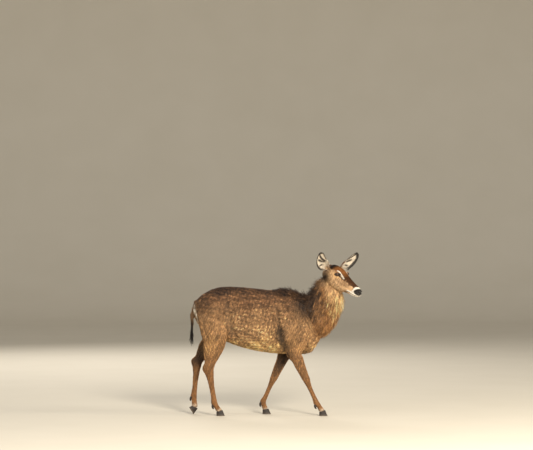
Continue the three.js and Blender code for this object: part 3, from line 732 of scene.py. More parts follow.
# Lengths of the domes that close the head's tube behind and ahead.
HEAD_DOMES = (36, 17)


def head_shell():
    """The head in its own fine grain: tube and lids fused, eye hollows and the lids' opening cut out."""
    parts = [FORMS["head"].tube(240, 160, HEAD_DOMES, -FACE_COAT)]
    for side in (LEFT, RIGHT):
        centre = from_head(eye_place(side) - (0, side * LID_SINK, 0))
        parts.append(ball(centre, EYE_RADIUS + LID))
    head = fused(parts, HEAD_GRAIN)
    web = Web(head)
    local = to_head(head.points)
    away = (np.linalg.norm(local - eye_place(side), axis=1) for side in (LEFT, RIGHT))
    near_eye = sum(bell(distance, 0, LID_BLEND) for distance in away)
    share = FACE_SMOOTHING + (1 - FACE_SMOOTHING) * np.clip(near_eye, 0, 1)
    head.points = web.relaxed(head.points, 14, share)
    for side in (LEFT, RIGHT):
        head = combined(head, ball(from_head(eye_place(side)), EYE_RADIUS + EYE_GAP), "DIFFERENCE")
        head = combined(head, lid_cutter(side), "DIFFERENCE")
    return head


# Strokes of the sculpting on the head, in its own places (along, out, up): line, width, height.
HEAD_STROKES = [
    ([(150, 76, 62), (170, 70, 74), (196, 60, 72)], 3.2, -1.8),
    ([(152, 84, 30), (172, 86, 20), (196, 80, 24)], 3.0, -1.4),
    ([(200, 74, 52), (218, 66, 46), (240, 58, 38)], 4.2, -2.4),
    ([(214, 66, 8), (262, 58, -6), (312, 50, -14)], 13, 2.6),
    ([(262, 34, 52), (330, 28, 44), (400, 24, 36)], 11, 1.6),
    ([(300, 54, -34), (330, 50, -46)], 9, -2.4),
    ([(110, 84, -20), (150, 86, -58), (200, 74, -86)], 20, 2.5),
]


# Lips: how far their swelling is from the mouth's line, its spread and height, and the spread and depth of
# the mouth's groove.
LIP_AWAY, LIP_SPREAD, LIP_HEIGHT = 5.5, 3.4, 1.6
MOUTH_SPREAD, MOUTH_DEPTH = 2.1, 4.6
# Nose: heights of the nostrils' wings and of the ridges beside the nose, depths of the nostrils' hollows and
# of the groove under the nose, and that groove's spread.
WING_HEIGHT, RIDGE_HEIGHT = 3.0, 0.35
NOSTRIL_DEPTH, PHILTRUM_DEPTH, PHILTRUM_SPREAD = 11, 2.4, 2.2
RIDGES, RIDGES_SPREAD = [(360, 46, 0), (400, 46, -12)], 16


def sculpt_head(shell):
    """Moves the head's points along their normals for folds, nostrils, lips and the groove of the nose."""
    local = to_head(shell.points)
    mirrored = on_left(local)
    normals = normals_of(shell.points, shell.tris)
    move = np.zeros(len(local))
    for line, width, height in HEAD_STROKES:
        move += height * bell(near_line(mirrored, line), 0, width)
    lip = near_line(local[:, [0, 2]], MOUTH)
    front = ease(MOUTH[0][0] - 6, MOUTH[0][0] + 8, local[:, 0])
    move += front * (LIP_HEIGHT * bell(lip, LIP_AWAY, LIP_SPREAD) - MOUTH_DEPTH * bell(lip, 0, MOUTH_SPREAD))
    nose = mirrored - NOSTRIL
    wing = np.hypot(nose[:, 0] / 17 + nose[:, 2] / 40, nose[:, 2] / 9 - nose[:, 0] / 46)
    outer = ease(0.0, 1.0, mirrored[:, 1] / 10) * (np.abs(nose[:, 1]) < 30)
    move += outer * (WING_HEIGHT * bell(wing, 1.45, 0.42) - NOSTRIL_DEPTH * ease(1.05, 0.35, wing))
    below = ease(6, -10, local[:, 2]) * ease(430, 450, local[:, 0]) * (local[:, 2] > -44)
    move -= PHILTRUM_DEPTH * bell(mirrored[:, 1], 0, PHILTRUM_SPREAD) * below
    ridges = np.sin(local[:, 0] * 0.9 + 1.2 * wander(local, 26, SEED + 3))
    move += RIDGE_HEIGHT * ridges * bell(near_line(mirrored, RIDGES), 0, RIDGES_SPREAD)
    shell.points = shell.points + normals * move[:, None]


def ear_profile(t):
    """Half width, how far the wall curls to each side and the bow of the back, at a share of the length.

    The half width is that of a blunt oval, sqrt(1 - d^2.4) at a distance d from its widest place, and is
    drawn in over the first third.
    """
    away = np.abs(t - EAR_WIDEST) / np.where(t < EAR_WIDEST, EAR_WIDEST, 1 - EAR_WIDEST)
    swell = np.sqrt(1 - np.minimum(away, 1) ** EAR_BLUNTNESS)
    half = np.maximum(EAR_WIDTH / 2 * swell * (0.34 + 0.66 * np.minimum(t / 0.3, 1)), 5)
    curl = (150 - 92 * np.minimum(t / 0.4, 1) - 10 * t) * DEG
    return half, curl, -EAR_BULGE * np.sin(math.pi * t)


def ear_axes(side):
    """The ear's root and its directions: out to the tip, square to its opening, and across."""
    root = from_head(EAR_BASE * (1, side, 1))
    way = unit(HEAD_TURN @ np.array([-EAR_WAY[2], side * EAR_WAY[0], EAR_WAY[1]]))
    opening = HEAD_TURN @ np.array([1, 0, 0.1])
    opening = unit(opening - way * (way @ opening))
    across = np.cross(way, opening)
    outward = across * (1 if across @ (root - from_head(EAR_BASE * (1, 0, 1))) > 0 else -1)
    return root, way, opening, across, outward


def ear_point(side, t, turn, depth):
    """A point of the ear's wall: an arc of the section at t, at an angle from the middle of its back.

    depth is 0 at the back and 1 at the hollow, where the radius is less by the wall.
    """
    root, way, opening, across, outward = ear_axes(side)
    half, curl, lean = ear_profile(t)
    radius = half / np.sin(np.minimum(curl, math.pi / 2))
    wall = EAR_WALL * (1 - 0.45 * t)
    r = np.maximum(radius - wall * depth, radius * 0.4)
    middle = lean - radius * (1 - np.cos(curl)) / 2
    angle = turn * curl
    return (
        root
        + way * (t * EAR_LENGTH)[:, None]
        + outward * (EAR_BOW * np.sin(math.pi * t))[:, None]
        + opening * (middle + radius - r * np.cos(angle))[:, None]
        + across * (r * np.sin(angle))[:, None]
    )


def ear_shell(side, levels=48, arc=26):
    """A leaf of wall: each ring goes round the back, over the rounded rim and home through the hollow.

    Three soft ridges run up the hollow, and the wall is closed at its root and at its tip.
    """
    back = np.linspace(1, -1, arc)
    rim = np.array([-1.012, -1.012])
    turn = np.concatenate([back, rim, back[::-1], -rim])
    depth = np.concatenate([np.zeros(arc), [0.3, 0.7], np.ones(arc), [0.7, 0.3]])
    sides = len(turn)
    t = np.repeat(1 - (1 - np.linspace(0, 1, levels)) ** 1.35, sides)
    turns = np.tile(turn, levels)
    ridge = 0.28 * np.cos(turns * 3 * math.pi) * np.sin(math.pi * t) * (np.abs(turns) < 0.9)
    depths = np.tile(depth, levels)
    points = ear_point(side, t, turns, depths + ridge * (depths == 1))
    first = points[:sides].mean(0)
    last = points[-sides:].mean(0)
    return Shell(np.vstack([points, first, last]), *ring_faces(levels, sides))


# Body


# Soft grooves of the flanks in side view (x, z): line, width, depth, and how strong the painted shade in them
# is.
BODY_GROOVES = [
    ([(16, 1010), (26, 930), (36, 816), (44, 770)], 20, 13, 0.6),
    ([(46, 830), (62, 730), (84, 650), (98, 590)], 42, 11, 0.95),
    ([(-462, 1070), (-448, 960), (-420, 850), (-372, 740)], 28, 10, 0.55),
    ([(-700, 930), (-670, 800), (-646, 690)], 22, 7, 0.3),
    ([(250, 1110), (300, 1010), (352, 900)], 30, 9, 0.3),
    ([(118, 1060), (170, 960), (226, 850)], 20, -5, 0.0),
    ([(-330, 720), (-300, 690), (-260, 668)], 20, 5, 0.2),
    ([(118, 700), (150, 640), (160, 600)], 16, 4, 0.35),
    ([(-560, 760), (-540, 700), (-520, 650)], 16, 3, 0.25),
]


# Where skin is smoothed over: the neck's front above the breast, and under the jaw in the head's own places,
# with the reach of each, and of the softer rounds at the jaw once the head is joined.
BREAST_FOLD, BREAST_REACH = np.array([430.0, 0.0, 745.0]), 95
JAW_FOLD, JAW_REACH = [(170, 26, -128), (100, 72, -98), (25, 78, -42), (-8, 70, 20)], 52
JAW_SOFTENING = 34
# The part of the head that is fused with the neck: how far it is sunk, and the ball that it is cut to.
BACK_OF_HEAD_SINK = 4.0
BACK_OF_HEAD, BACK_OF_HEAD_RADIUS = (60, 0, -60), 140


def body_shell():
    """Trunk, neck, tail, legs and the back of the head fused into one skin.

    It is relaxed so that they run into each other, and then grooved.
    """
    back_of_head = FORMS["head"].tube(110, 80, (34, 12), -FACE_COAT - BACK_OF_HEAD_SINK)
    back_of_head = combined(back_of_head, ball(from_head(BACK_OF_HEAD), BACK_OF_HEAD_RADIUS), "INTERSECT")
    parts = [
        back_of_head,
        FORMS["trunk"].tube(150, 110, (26, 40), -BODY_COAT),
        FORMS["neck"].tube(110, 90, (60, 20), -NECK_COAT),
        FORMS["tail"].tube(90, 28, (20, 8), -NECK_COAT),
    ]
    parts += [leg.form.tube(200, 48, (30, 2), -LEG_COAT) for leg in LEGS]
    body = fused(parts, BODY_GRAIN)
    web = Web(body)
    body.points = web.relaxed(body.points, 16)
    breast = np.linalg.norm((body.points - BREAST_FOLD) * (1, 0.5, 1), axis=1)
    fold = bell(near_line(on_left(to_head(body.points)), JAW_FOLD), 0, JAW_REACH)
    fold = np.maximum(fold, bell(breast, 0, BREAST_REACH))
    for _ in range(110):
        body.points = body.points + 0.5 * fold[:, None] * (web.mean(body.points) - body.points)
    normals = normals_of(body.points, body.tris)
    side_on = ease(0.2, 0.7, np.abs(normals[:, 1]))
    move = np.zeros(len(body.points))
    for line, width, depth, _ in BODY_GROOVES:
        move -= depth * bell(near_line(body.points[:, [0, 2]], line), 0, width)
    body.points = body.points + normals * (side_on * move)[:, None]
    return body


def soften(skin, weight, rounds):
    """Draws points towards their neighbours' mean in rounds, by a weight for each, where it isn't 0."""
    tris = skin.tris[(weight[skin.tris] > 0.01).any(1)]
    near = np.unique(tris)
    place = np.zeros(len(weight), int)
    place[near] = np.arange(len(near))
    part = Shell(skin.points[near], tris=place[tris])
    web = Web(part)
    share = 0.5 * weight[near][:, None] * (weight[near][:, None] > 0.01)
    for _ in range(rounds):
        part.points = part.points + share * (web.mean(part.points) - part.points)
    skin.points[near] = part.points


def whole_skin():
    """Body, head and ears as one skin, softened where head and neck meet."""
    head = head_shell()
    sculpt_head(head)
    skin = combined(body_shell(), head)
    for side in (LEFT, RIGHT):
        skin = combined(skin, ear_shell(side))
    web = Web(skin)
    local = to_head(skin.points)
    seam = bell(local[:, 0], -6, 40) * ease(-150, -60, local[:, 2]) * (np.abs(local[:, 1]) < 130)
    skin.points = web.relaxed(skin.points, 6, seam)
    soften(skin, bell(near_line(on_left(local), JAW_FOLD), 0, JAW_SOFTENING), 260)
    return skin


# Lie, length and colour of the coat

NAMES = list(FORMS)
TRUNK_AT, NECK_AT, HEAD_PART, TAIL_AT = (NAMES.index(n) for n in ("trunk", "neck", "head", "tail"))
LEG_PARTS = [NAMES.index(leg.name) for leg in LEGS]


def tone(red, green, blue):
    """A colour given as seen on a screen, 0 to 255, as the light it reflects."""
    c = np.array([red, green, blue]) / 255
    return np.where(c <= 0.04045, c / 12.92, ((c + 0.055) / 1.055) ** 2.4)


SOOT = tone(28, 23, 20)
UMBER = tone(70, 48, 32)
BROWN = tone(114, 81, 53)
FLANK = tone(174, 134, 92)
BELLY = tone(232, 182, 120)
DARK_MANE = tone(48, 34, 25)
NECK_TAN = tone(164, 117, 70)
THROAT = tone(238, 190, 132)
LEG_TOP = tone(154, 113, 73)
LEG_LOW = tone(136, 95, 56)
CHEEK = tone(240, 198, 150)
RUFOUS = tone(138, 82, 30)
MAROON = tone(66, 38, 17)
IVORY = tone(246, 236, 218)
PALE_EAR = tone(240, 227, 206)


def blended(colour, other, share):
    """Colours mixed towards another one by a share for each point."""
    return colour + (other - colour) * share[:, None]


# How fast a form's share of a point falls with the distance from its surface.
SHARE_REACH = 16
# The ears' points: how far from their middle line, and how far past the tip, they are looked for.
EAR_REACH, EAR_PAST_TIP = 78, 1.2


class Survey:
    """Where each point of the skin lies: its form, how far along and round it, and how the coat lies."""

    def __init__(self, points, normals):
        found = [FORMS[name].locate(points) for name in NAMES]
        self.points = points
        self.normals = normals
        self.t = np.stack([f[0] for f in found])
        self.angle = np.stack([f[1] for f in found])
        outside = np.stack([f[2] for f in found])
        self.owner = outside.argmin(0)
        nearness = np.exp(-(outside - outside.min(0)) / SHARE_REACH)
        self.share = nearness / nearness.sum(0)
        self.head = to_head(points)
        self.along = [f[3] for f in found]
        self.ears()

    def ears(self):
        """Marks the ears' points, with the share of the ear's length and whether they face its opening."""
        self.ear = np.zeros(len(self.points))
        self.ear_share = np.zeros(len(self.points))
        self.hollow = np.zeros(len(self.points))
        self.ear_side = np.zeros(len(self.points))
        self.ear_way = np.zeros_like(self.points)
        for side in (LEFT, RIGHT):
            root, way, opening, _, outward = ear_axes(side)
            away = self.points - root
            share = away @ way / EAR_LENGTH
            aside = np.linalg.norm(away - np.outer(away @ way, way) - outward * EAR_BOW * 0.6, axis=1)
            mine = ease(0.06, 0.16, share) * (aside < EAR_REACH) * (share < EAR_PAST_TIP)
            chosen = mine > 0
            share = share[chosen]
            bow = EAR_BOW * np.sin(math.pi * np.clip(share, 0, 1))
            self.ear[chosen] = mine[chosen]
            self.ear_share[chosen] = share
            self.hollow[chosen] = ease(-0.1, 0.35, self.normals[chosen] @ opening)
            self.ear_side[chosen] = away[chosen] @ outward - bow
            self.ear_way[chosen] = way

    def lie(self):
        """The way the hair lies: back and down on the trunk, down the neck and legs, back from the nose."""
        top = np.sin(self.angle[TRUNK_AT])
        level = np.stack([-np.ones_like(top), 0 * top, -0.16 - 1.0 * (1 - np.abs(top))], -1)
        ways = [None] * len(NAMES)
        ways[TRUNK_AT] = unit(level)
        ways[NECK_AT] = unit(-self.along[NECK_AT] + np.array([0, 0, -0.7]))
        jaw = ease(240, 120, self.head[:, 0]) * ease(-10, -80, self.head[:, 2])
        ways[HEAD_PART] = unit(-self.along[HEAD_PART] + np.outer(0.22 + 1.6 * jaw, [0, 0, -1]))
        ways[TAIL_AT] = self.along[TAIL_AT]
        for part in LEG_PARTS:
            ways[part] = unit(self.along[part] + np.array([-0.25, 0, 0]))
        flow = sum(w[:, None] * way for w, way in zip(self.share, ways))
        return flow * (1 - self.ear[:, None]) + self.ear_way * self.ear[:, None]

    def mixed(self, values):
        """One number for each point from a list with one number or array for each form."""
        return sum(w * v for w, v in zip(self.share, values))


def leg_values(survey, steps):
    """For each leg a number that runs from its top to its knee or hock and on to its hoof."""
    top, knee, low = steps
    values = []
    for part in LEG_PARTS:
        t = survey.t[part]
        values.append(top + (knee - top) * ease(3, 8.5, t) + (low - knee) * ease(8.5, 12, t))
    return values


# The legs' tufts at the top, at the knee or hock and at the hoof.
LEG_LENGTH, LEG_LIFT = (27, 13, 8.5), (0.2, 0.2, 0.24)
LEG_WIDTH, LEG_SPACING = (3.8, 2.8, 2.3), (5.6, 4.5, 4)
# The ears' tufts: length on the back, how much longer in the hollow and in the fringe at its foot.
EAR_HAIR, HOLLOW_HAIR, FRINGE_HAIR = 7, 5, 12
EAR_LIFT, EAR_TUFT, EAR_SPACING = 0.22, 2.2, 3.6


def over_ears(survey, values, on_ears):
    """Values with the ears' own in their place."""
    return values * (1 - survey.ear) + on_ears * survey.ear


def coat_sizes(survey):
    """Length, width, lift in radians and spacing of the tufts at each point, and how straight they stay.

    Each is given for the trunk, the neck, the head, the tail and the legs, mixed where they meet, and then
    for the ears.
    """
    up = np.sin(survey.angle[TRUNK_AT])
    nape = np.sin(survey.angle[NECK_AT])
    x = survey.points[:, 0]
    along, _, high = survey.head.T
    withers = ease(-60, 90, x) * ease(0.72, 0.95, up)
    upper = ease(5.2, 6.9, survey.t[NECK_AT])
    jaw = ease(250, 110, along) * ease(0, -74, high)
    cheek = ease(130, 30, along)
    muzzle = ease(280, 400, along)
    tuft = ease(2.6, 4.0, survey.t[TAIL_AT])
    breast = ease(250, 380, x) * ease(-0.1, -0.7, up)
    length = survey.mixed([
        30 + 7 * ease(-0.5, -0.9, up) + 26 * withers + 26 * breast,
        (66 + 22 * ease(0.1, -0.8, nape) + 8 * ease(0.5, 0.9, nape)) * (1 - 0.38 * upper),
        (8 + 52 * jaw + 8 * cheek - 3 * muzzle) * (0.4 + 0.6 * ease(26, 52, from_eye(survey.head))),
        24 + 60 * tuft,
        *leg_values(survey, LEG_LENGTH),
    ])
    lift = survey.mixed([
        0.18 + 0.42 * withers + 0.06 * ease(-0.5, -0.9, up) + 0.12 * breast,
        0.30 + 0.5 * ease(0.45, 0.92, nape) + 0.1 * ease(-0.2, -0.9, nape) + 0.14 * upper,
        0.24 + 0.26 * jaw,
        0.16 + 0.1 * tuft,
        *leg_values(survey, LEG_LIFT),
    ])
    bristly = ease(0.5, 0.95, nape)
    width = survey.mixed([
        3.9 + 1.6 * withers,
        3.2 - 0.4 * upper + 2.2 * bristly,
        2.2 - 0.5 * muzzle + 0.9 * jaw,
        3.4,
        *leg_values(survey, LEG_WIDTH),
    ])
    spacing = survey.mixed([
        5.5 + 0.8 * withers,
        4.8 - 0.8 * upper + 1.4 * bristly,
        3.5,
        3.9,
        *leg_values(survey, LEG_SPACING),
    ])
    fringe = survey.hollow * ease(0.45, 0.2, survey.ear_share)
    length = over_ears(survey, length, EAR_HAIR + HOLLOW_HAIR * survey.hollow + FRINGE_HAIR * fringe)
    width = over_ears(survey, width, EAR_TUFT)
    lift = over_ears(survey, lift, EAR_LIFT)
    spacing = over_ears(survey, spacing, EAR_SPACING)
    upright = survey.mixed([withers, bristly, 0, 0, 0, 0, 0, 0]) * (1 - survey.ear)
    return length, width, lift, spacing, upright


# Places on the trunk are squeezed to 0.4 along the streaks, which run back and 58 degrees down, and to 0.3
# across the body.
STREAK_WAY = np.array([-math.cos(58 * DEG), 0, -math.sin(58 * DEG)])
TRUNK_STREAK = np.eye(3) - 0.6 * np.outer(STREAK_WAY, STREAK_WAY)
FLATTENED = (1, 0.3, 1)
# Soft patches in side view: middle and spread along x, middle and spread up z.
DARK_SHOULDER = (262, 96, 1060, 130)
BROWN_RIBS = (-10, 90, 980, 130)
# Round spots in side view: middle and spread.
BEHIND_EAR = (474, 1332, 38)
PALE_THIGH = (-632, 680, 85)
# The pale parting down the near side of the neck in side view, and its half width.
PALE_PARTING, PARTING_WIDTH = [(500, 1290), (503, 1200), (512, 1130), (545, 1060), (560, 980)], 10
# The pale ring on the rump, seen from behind: its half width, the height of its middle and half its height,
# and the spread of its band as a share.
RING_HALF, RING_MIDDLE, RING_RISE, RING_BAND = 84, 890, 190, 0.16
# The pale band above each hoof: its place along the leg and its spread, in rows of the leg's table.
PASTERN_BAND, PASTERN_SPREAD = 14.75, 0.3
# How far down the legs their inner faces carry painted shade, in rows of the leg's table.
SHADED_TO_HIND, SHADED_TO_FORE = 10.5, 8
# How far up or down, in mm, the edges of the trunk's shades wander.
SHADE_WANDER = 22


def patch_share(x, z, patch):
    """A soft patch in side view: a bell along x times a bell up z."""
    middle, reach, height, rise = patch
    return bell(x, middle, reach) * bell(z, height, rise)


def spot_share(x, z, spot):
    """A round spot in side view: a bell of the distance from its middle."""
    middle, height, reach = spot
    return bell(np.hypot(x - middle, z - height), 0, reach)


def grizzle(points, share, size, strength):
    """Streaks of lighter and darker hair, back and down on the trunk, and down the neck and legs."""
    flat = points * FLATTENED
    fine = wander(flat @ TRUNK_STREAK, size, SEED + 15)
    broad = wander(flat * (0.8, 1, 0.55), 1.6 * size, SEED + 18)
    down = wander(points * (1, 0.5, 0.3), size, SEED + 17)
    on_legs = sum(share[part] for part in LEG_PARTS)
    hanging = share[NECK_AT] + 0.7 * on_legs + 0.3 * share[HEAD_PART]
    return strength * (0.75 * (fine + broad) * share[TRUNK_AT] + down * hanging)


def body_colour(survey):
    """Dark along the back, tan on the flanks, paler below, with rusty legs, a dark nape and a pale throat."""
    x, y, z = survey.points.T
    side_view = survey.points[:, [0, 2]]
    uneven = wander(survey.points, 170, SEED + 5)
    patchy = SHADE_WANDER * uneven
    trunk = blended(np.tile(UMBER, (len(x), 1)), BROWN, ease(1232, 1120, z + patchy))
    trunk = blended(trunk, FLANK, ease(1130, 880, z + patchy))
    trunk = blended(trunk, BELLY, ease(800, 610, z + patchy) * (0.25 + 0.75 * ease(330, 200, x)))
    trunk = blended(trunk, DARK_MANE, 0.92 * patch_share(x, z, DARK_SHOULDER))
    trunk = blended(trunk, BROWN, 0.5 * patch_share(x, z, BROWN_RIBS))
    trunk = blended(trunk, DARK_MANE, 0.8 * ease(-120, 120, x) * ease(1110, 1190, z + 0.5 * patchy))
    t, nape = survey.t[NECK_AT], np.sin(survey.angle[NECK_AT])
    throat = 0.85 * ease(-0.62, -0.93, nape + 0.1 * uneven) * ease(990, 1100, z)
    neck = blended(np.tile(NECK_TAN, (len(x), 1)), THROAT, throat)
    dark = nape + 0.2 * wander(survey.points * (1, 1, 0.25), 24, SEED + 6) + 0.15 * ease(4, 2, t)
    dark = 0.94 * ease(-0.26, 0.44, dark) * (1 - 0.6 * ease(4.4, 6.0, t))
    neck = blended(neck, DARK_MANE, dark)
    parting = bell(near_line(side_view, PALE_PARTING), 0, PARTING_WIDTH)
    neck = blended(neck, THROAT, 0.85 * parting * ease(0.0, 0.5, -survey.normals[:, 1]))
    legs = []
    for leg, part in zip(LEGS, LEG_PARTS):
        place = survey.t[part]
        colour = blended(trunk, LEG_TOP, ease(1.5, 4.5, place))
        colour = blended(colour, LEG_LOW, ease(5, 10, place))
        # Painted shade: the legs' inner faces, in the shadow of the body and the other legs, are darkened
        # down to the knee or hock.
        inner = ease(0.2, 0.8, -leg.side * survey.normals[:, 1]) * ease(2, 5, place)
        shaded_to = SHADED_TO_HIND if leg.hind else SHADED_TO_FORE
        colour = blended(colour, DARK_MANE, 0.9 * inner * (1 - ease(shaded_to - 3, shaded_to, place)))
        legs.append(blended(colour, PALE_EAR, 0.4 * bell(place, PASTERN_BAND, PASTERN_SPREAD)))
    tail = blended(trunk, 0.5 * SOOT, ease(-0.3, 0.5, survey.t[TAIL_AT]))
    parts = [trunk, neck, face_colour(survey), tail, *legs]
    colour = sum(w[:, None] * part for w, part in zip(survey.share, parts))
    colour = blended(colour, SOOT, 0.95 * spot_share(x, z, BEHIND_EAR) * (survey.ear == 0))
    colour = blended(colour, BELLY, 0.4 * spot_share(x, z, PALE_THIGH))
    colour = blended(colour, UMBER, 0.4 * ease(-540, -690, x) * ease(850, 1000, z))
    ring = bell(np.hypot(y / RING_HALF, (z - RING_MIDDLE) / RING_RISE), 1, RING_BAND)
    ring = ring * ease(-0.5, -0.78, survey.normals[:, 0]) * (x < -560)
    colour = blended(colour, IVORY, 0.62 * ring * ease(1100, 1020, z))
    # Painted shade: the colour is darkened along each groove's line, on points that face sideways, as the
    # shadow in the creases.
    crease_shade = sum(dark * bell(near_line(side_view, line), 0, width) for line, width, _, dark in BODY_GROOVES)
    crease_shade = np.clip(crease_shade, 0, 0.95) * ease(0.2, 0.6, np.abs(survey.normals[:, 1]))
    colour = blended(colour, 0.12 * colour, crease_shade * (1 - survey.share[HEAD_PART]))
    return colour * np.exp(grizzle(survey.points, survey.share, 34, 0.12))[:, None]


# Where the white of the muzzle begins.
MUZZLE_EDGE = 391
# The head's girth in mm at places along it, by which angles round it become lengths.
HEAD_GIRTH = ([row[0] for row in HEAD], [62, 84, 94, 95, 88, 73, 59, 51, 47, 39])
# Markings as places along the head and angles from its top: line, half width.
BROW_STREAK = ([(148, 35), (176, 31), (212, 35), (252, 42)], 7.5)
TEAR_LINE = ([(194, 52), (216, 50), (246, 50)], 5)
# Markings as places along, out and up: line, half width.
UPPER_LIP = ([(350, 50, -38), (380, 50, -28), (410, 48, -22), (440, 36, -20), (462, 0, -24)], 10.0)
CHIN = ([(366, 44, -58), (400, 40, -54), (446, 22, -48), (456, 0, -46)], 9.0)
# The nose's bare skin: its middle along and up, and its half length, width and height.
PAD_ALONG, PAD_UP = 456, 4
PAD_LENGTH, PAD_WIDTH, PAD_HEIGHT = 48, 58, 29
# Spots on the face: middle along and up, and spread.
CORNER_OF_MOUTH, CORNER_SPREAD = (326, -62), 24


def mark(places, line, soft=0.35):
    """1 within a marking's line and 0 outside it, with a soft edge."""
    points, width = line
    return ease(width * (1 + soft), width * (1 - soft), near_line(places, points))


def nose_pad(local):
    """The bare black skin between and round the nostrils, and the groove down to the lip."""
    along, out, high = local.T
    away = ((along - PAD_ALONG) / PAD_LENGTH) ** 2 + (out / PAD_WIDTH) ** 2
    away = away + ((high - PAD_UP) / PAD_HEIGHT) ** 2
    groove = ease(4, 2.2, np.abs(out)) * ease(440, 450, along) * ease(-34, -28, high) * ease(4, -4, high)
    return np.maximum(ease(1.1, 0.96, np.sqrt(away)), groove)


def unroll(line):
    """A marking's line with its angles turned into lengths by the head's girth."""
    points, width = line
    return [(along, degrees * DEG * np.interp(along, *HEAD_GIRTH)) for along, degrees in points], width


def face_colour(survey):
    """Streaky tan cheeks, rufous brow, dark nose bridge, black crown, pale streaks, muzzle and chin."""
    local = on_left(survey.head)
    along, out, high = local.T
    uneven = wander(survey.points, 34, SEED + 7)
    streaky = wander(survey.points * (1, 1, 0.4), 12, SEED + 8)
    from_top = degrees_from_top(survey.angle[HEAD_PART])
    unrolled = np.stack([along, from_top * DEG * np.interp(along, *HEAD_GIRTH)], -1)
    colour = np.tile(CHEEK, (len(along), 1))
    colour = blended(colour, BROWN, 0.62 * ease(-0.2, 1.0, streaky) * ease(330, 230, along))
    top = ease(58, 38, from_top + 5 * uneven)
    colour = blended(colour, RUFOUS, 0.95 * top)
    bridge = ease(62, 40, from_top + 7 * uneven) * ease(200, 270, along)
    colour = blended(colour, MAROON, 0.9 * bridge)
    colour = blended(colour, MAROON, 0.7 * bell(from_top, 34, 12) * bell(along, 215, 36))
    flank = ease(44, 62, from_top) * ease(100, 84, from_top)
    colour = blended(colour, BROWN, 0.65 * flank * bell(along, 300, 70))
    colour = blended(colour, DARK_MANE, 0.5 * ease(100, 40, along) * ease(-40, 10, high))
    corner = np.hypot(along - CORNER_OF_MOUTH[0], 1.2 * (high - CORNER_OF_MOUTH[1]))
    colour = blended(colour, MAROON, 0.85 * bell(corner, 0, CORNER_SPREAD) * (out > 14))
    colour = blended(colour, SOOT, ease(44, 58, high) * bell(along, 66, 34) * ease(60, 46, from_top))
    colour = blended(colour, BELLY, 0.6 * bell(from_eye(local), 33, 8) * ease(52, 34, high))
    colour = blended(colour, IVORY, 0.85 * mark(unrolled, unroll(BROW_STREAK)))
    colour = blended(colour, SOOT, 0.9 * mark(unrolled, unroll(TEAR_LINE)))
    colour = blended(colour, SOOT, 0.96 * ease(1.1, 0.94, almond(local)))
    white = ease(-4, 4, along - MUZZLE_EDGE - 0.3 * (high + 30) + 2 * uneven)
    colour = blended(colour, IVORY, white)
    colour = blended(colour, IVORY, mark(local, UPPER_LIP))
    colour = blended(colour, PALE_EAR, 0.9 * mark(local, CHIN))
    lip = near_line(local[:, [0, 2]], MOUTH)
    colour = blended(colour, SOOT, ease(4.0, 2.2, lip) * ease(MOUTH[0][0] - 4, MOUTH[0][0] + 6, along))
    return blended(colour, SOOT, nose_pad(local))


# Dark hair inside the ears: places outwards from the middle line and along the ear, and half width.
EAR_STREAKS = [
    ([(-10, 208), (-26, 150), (-42, 92)], 9.5),
    ([(8, 158), (-10, 118), (-30, 84)], 9.0),
    ([(26, 88), (4, 66)], 8.0),
]


def ear_colour(survey, colour):
    """Brown backs, a black rim and tip, and pale hollows with dark streaks and a brown tinge."""
    share, aside = survey.ear_share, survey.ear_side
    half, _, _ = ear_profile(np.clip(share, 0, 1))
    edge = np.abs(aside) / half
    back = np.tile(BROWN, (len(share), 1))
    inside = np.tile(PALE_EAR, (len(share), 1))
    places = np.stack([aside, share * EAR_LENGTH], -1)
    streaks = np.maximum.reduce([mark(places, line, 0.5) for line in EAR_STREAKS])
    inside = blended(inside, SOOT, 0.97 * streaks)
    inside = blended(inside, BROWN, 0.35 * ease(0.2, 1.2, wander(survey.points, 24, SEED + 9)))
    new = blended(back, inside, survey.hollow)
    rim = ease(0.58, 0.76, aside / half + 0.2 * (share - 0.4)) * ease(0.12, 0.3, share)
    inner = 0.8 * ease(0.8, 0.93, -aside / half) * ease(0.3, 0.5, share)
    tip = ease(0.85, 0.92, share + 0.05 * edge)
    new = blended(new, SOOT, np.clip(0.96 * rim + 0.96 * tip + inner, 0, 0.97))
    return colour + (new - colour) * survey.ear[:, None]


# Coat


# Widths of the forms' strips on the unwrap, the margin before the first and the gap between them.
STRIPS = np.array([0.30, 0.14, 0.12, 0.03, 0.08, 0.08, 0.08, 0.08])
STRIP_MARGIN, STRIP_GAP = 0.01, 0.005
# A tuft's patch on the unwrap, how high its section rises as a share of its width, and how light it is at its
# root, how much lighter it gets along its length, and how light its tip is.
TUFT_PATCH = 0.003
TUFT_RISE = 0.34
ROOT_SHADE, SHADE_RISE, TIP_SHADE = 0.55, 0.6, 1.3


def unwrapped(survey):
    """Each point's place on a flat unwrap of the skin, in its form's own strip.

    Its angle round the form runs across the strip and its place along the form runs up it.
    """
    starts = np.concatenate([[STRIP_MARGIN], STRIP_MARGIN + np.cumsum(STRIPS + STRIP_GAP)])
    owner = survey.owner
    pick = (owner, np.arange(len(owner)))
    last = np.array([FORMS[name].last for name in NAMES])
    across = starts[owner] + STRIPS[owner] * (survey.angle[pick] / (2 * math.pi) + 0.5)
    up = 0.02 + 0.96 * survey.t[pick] / last[owner]
    return np.stack([across, up], -1)


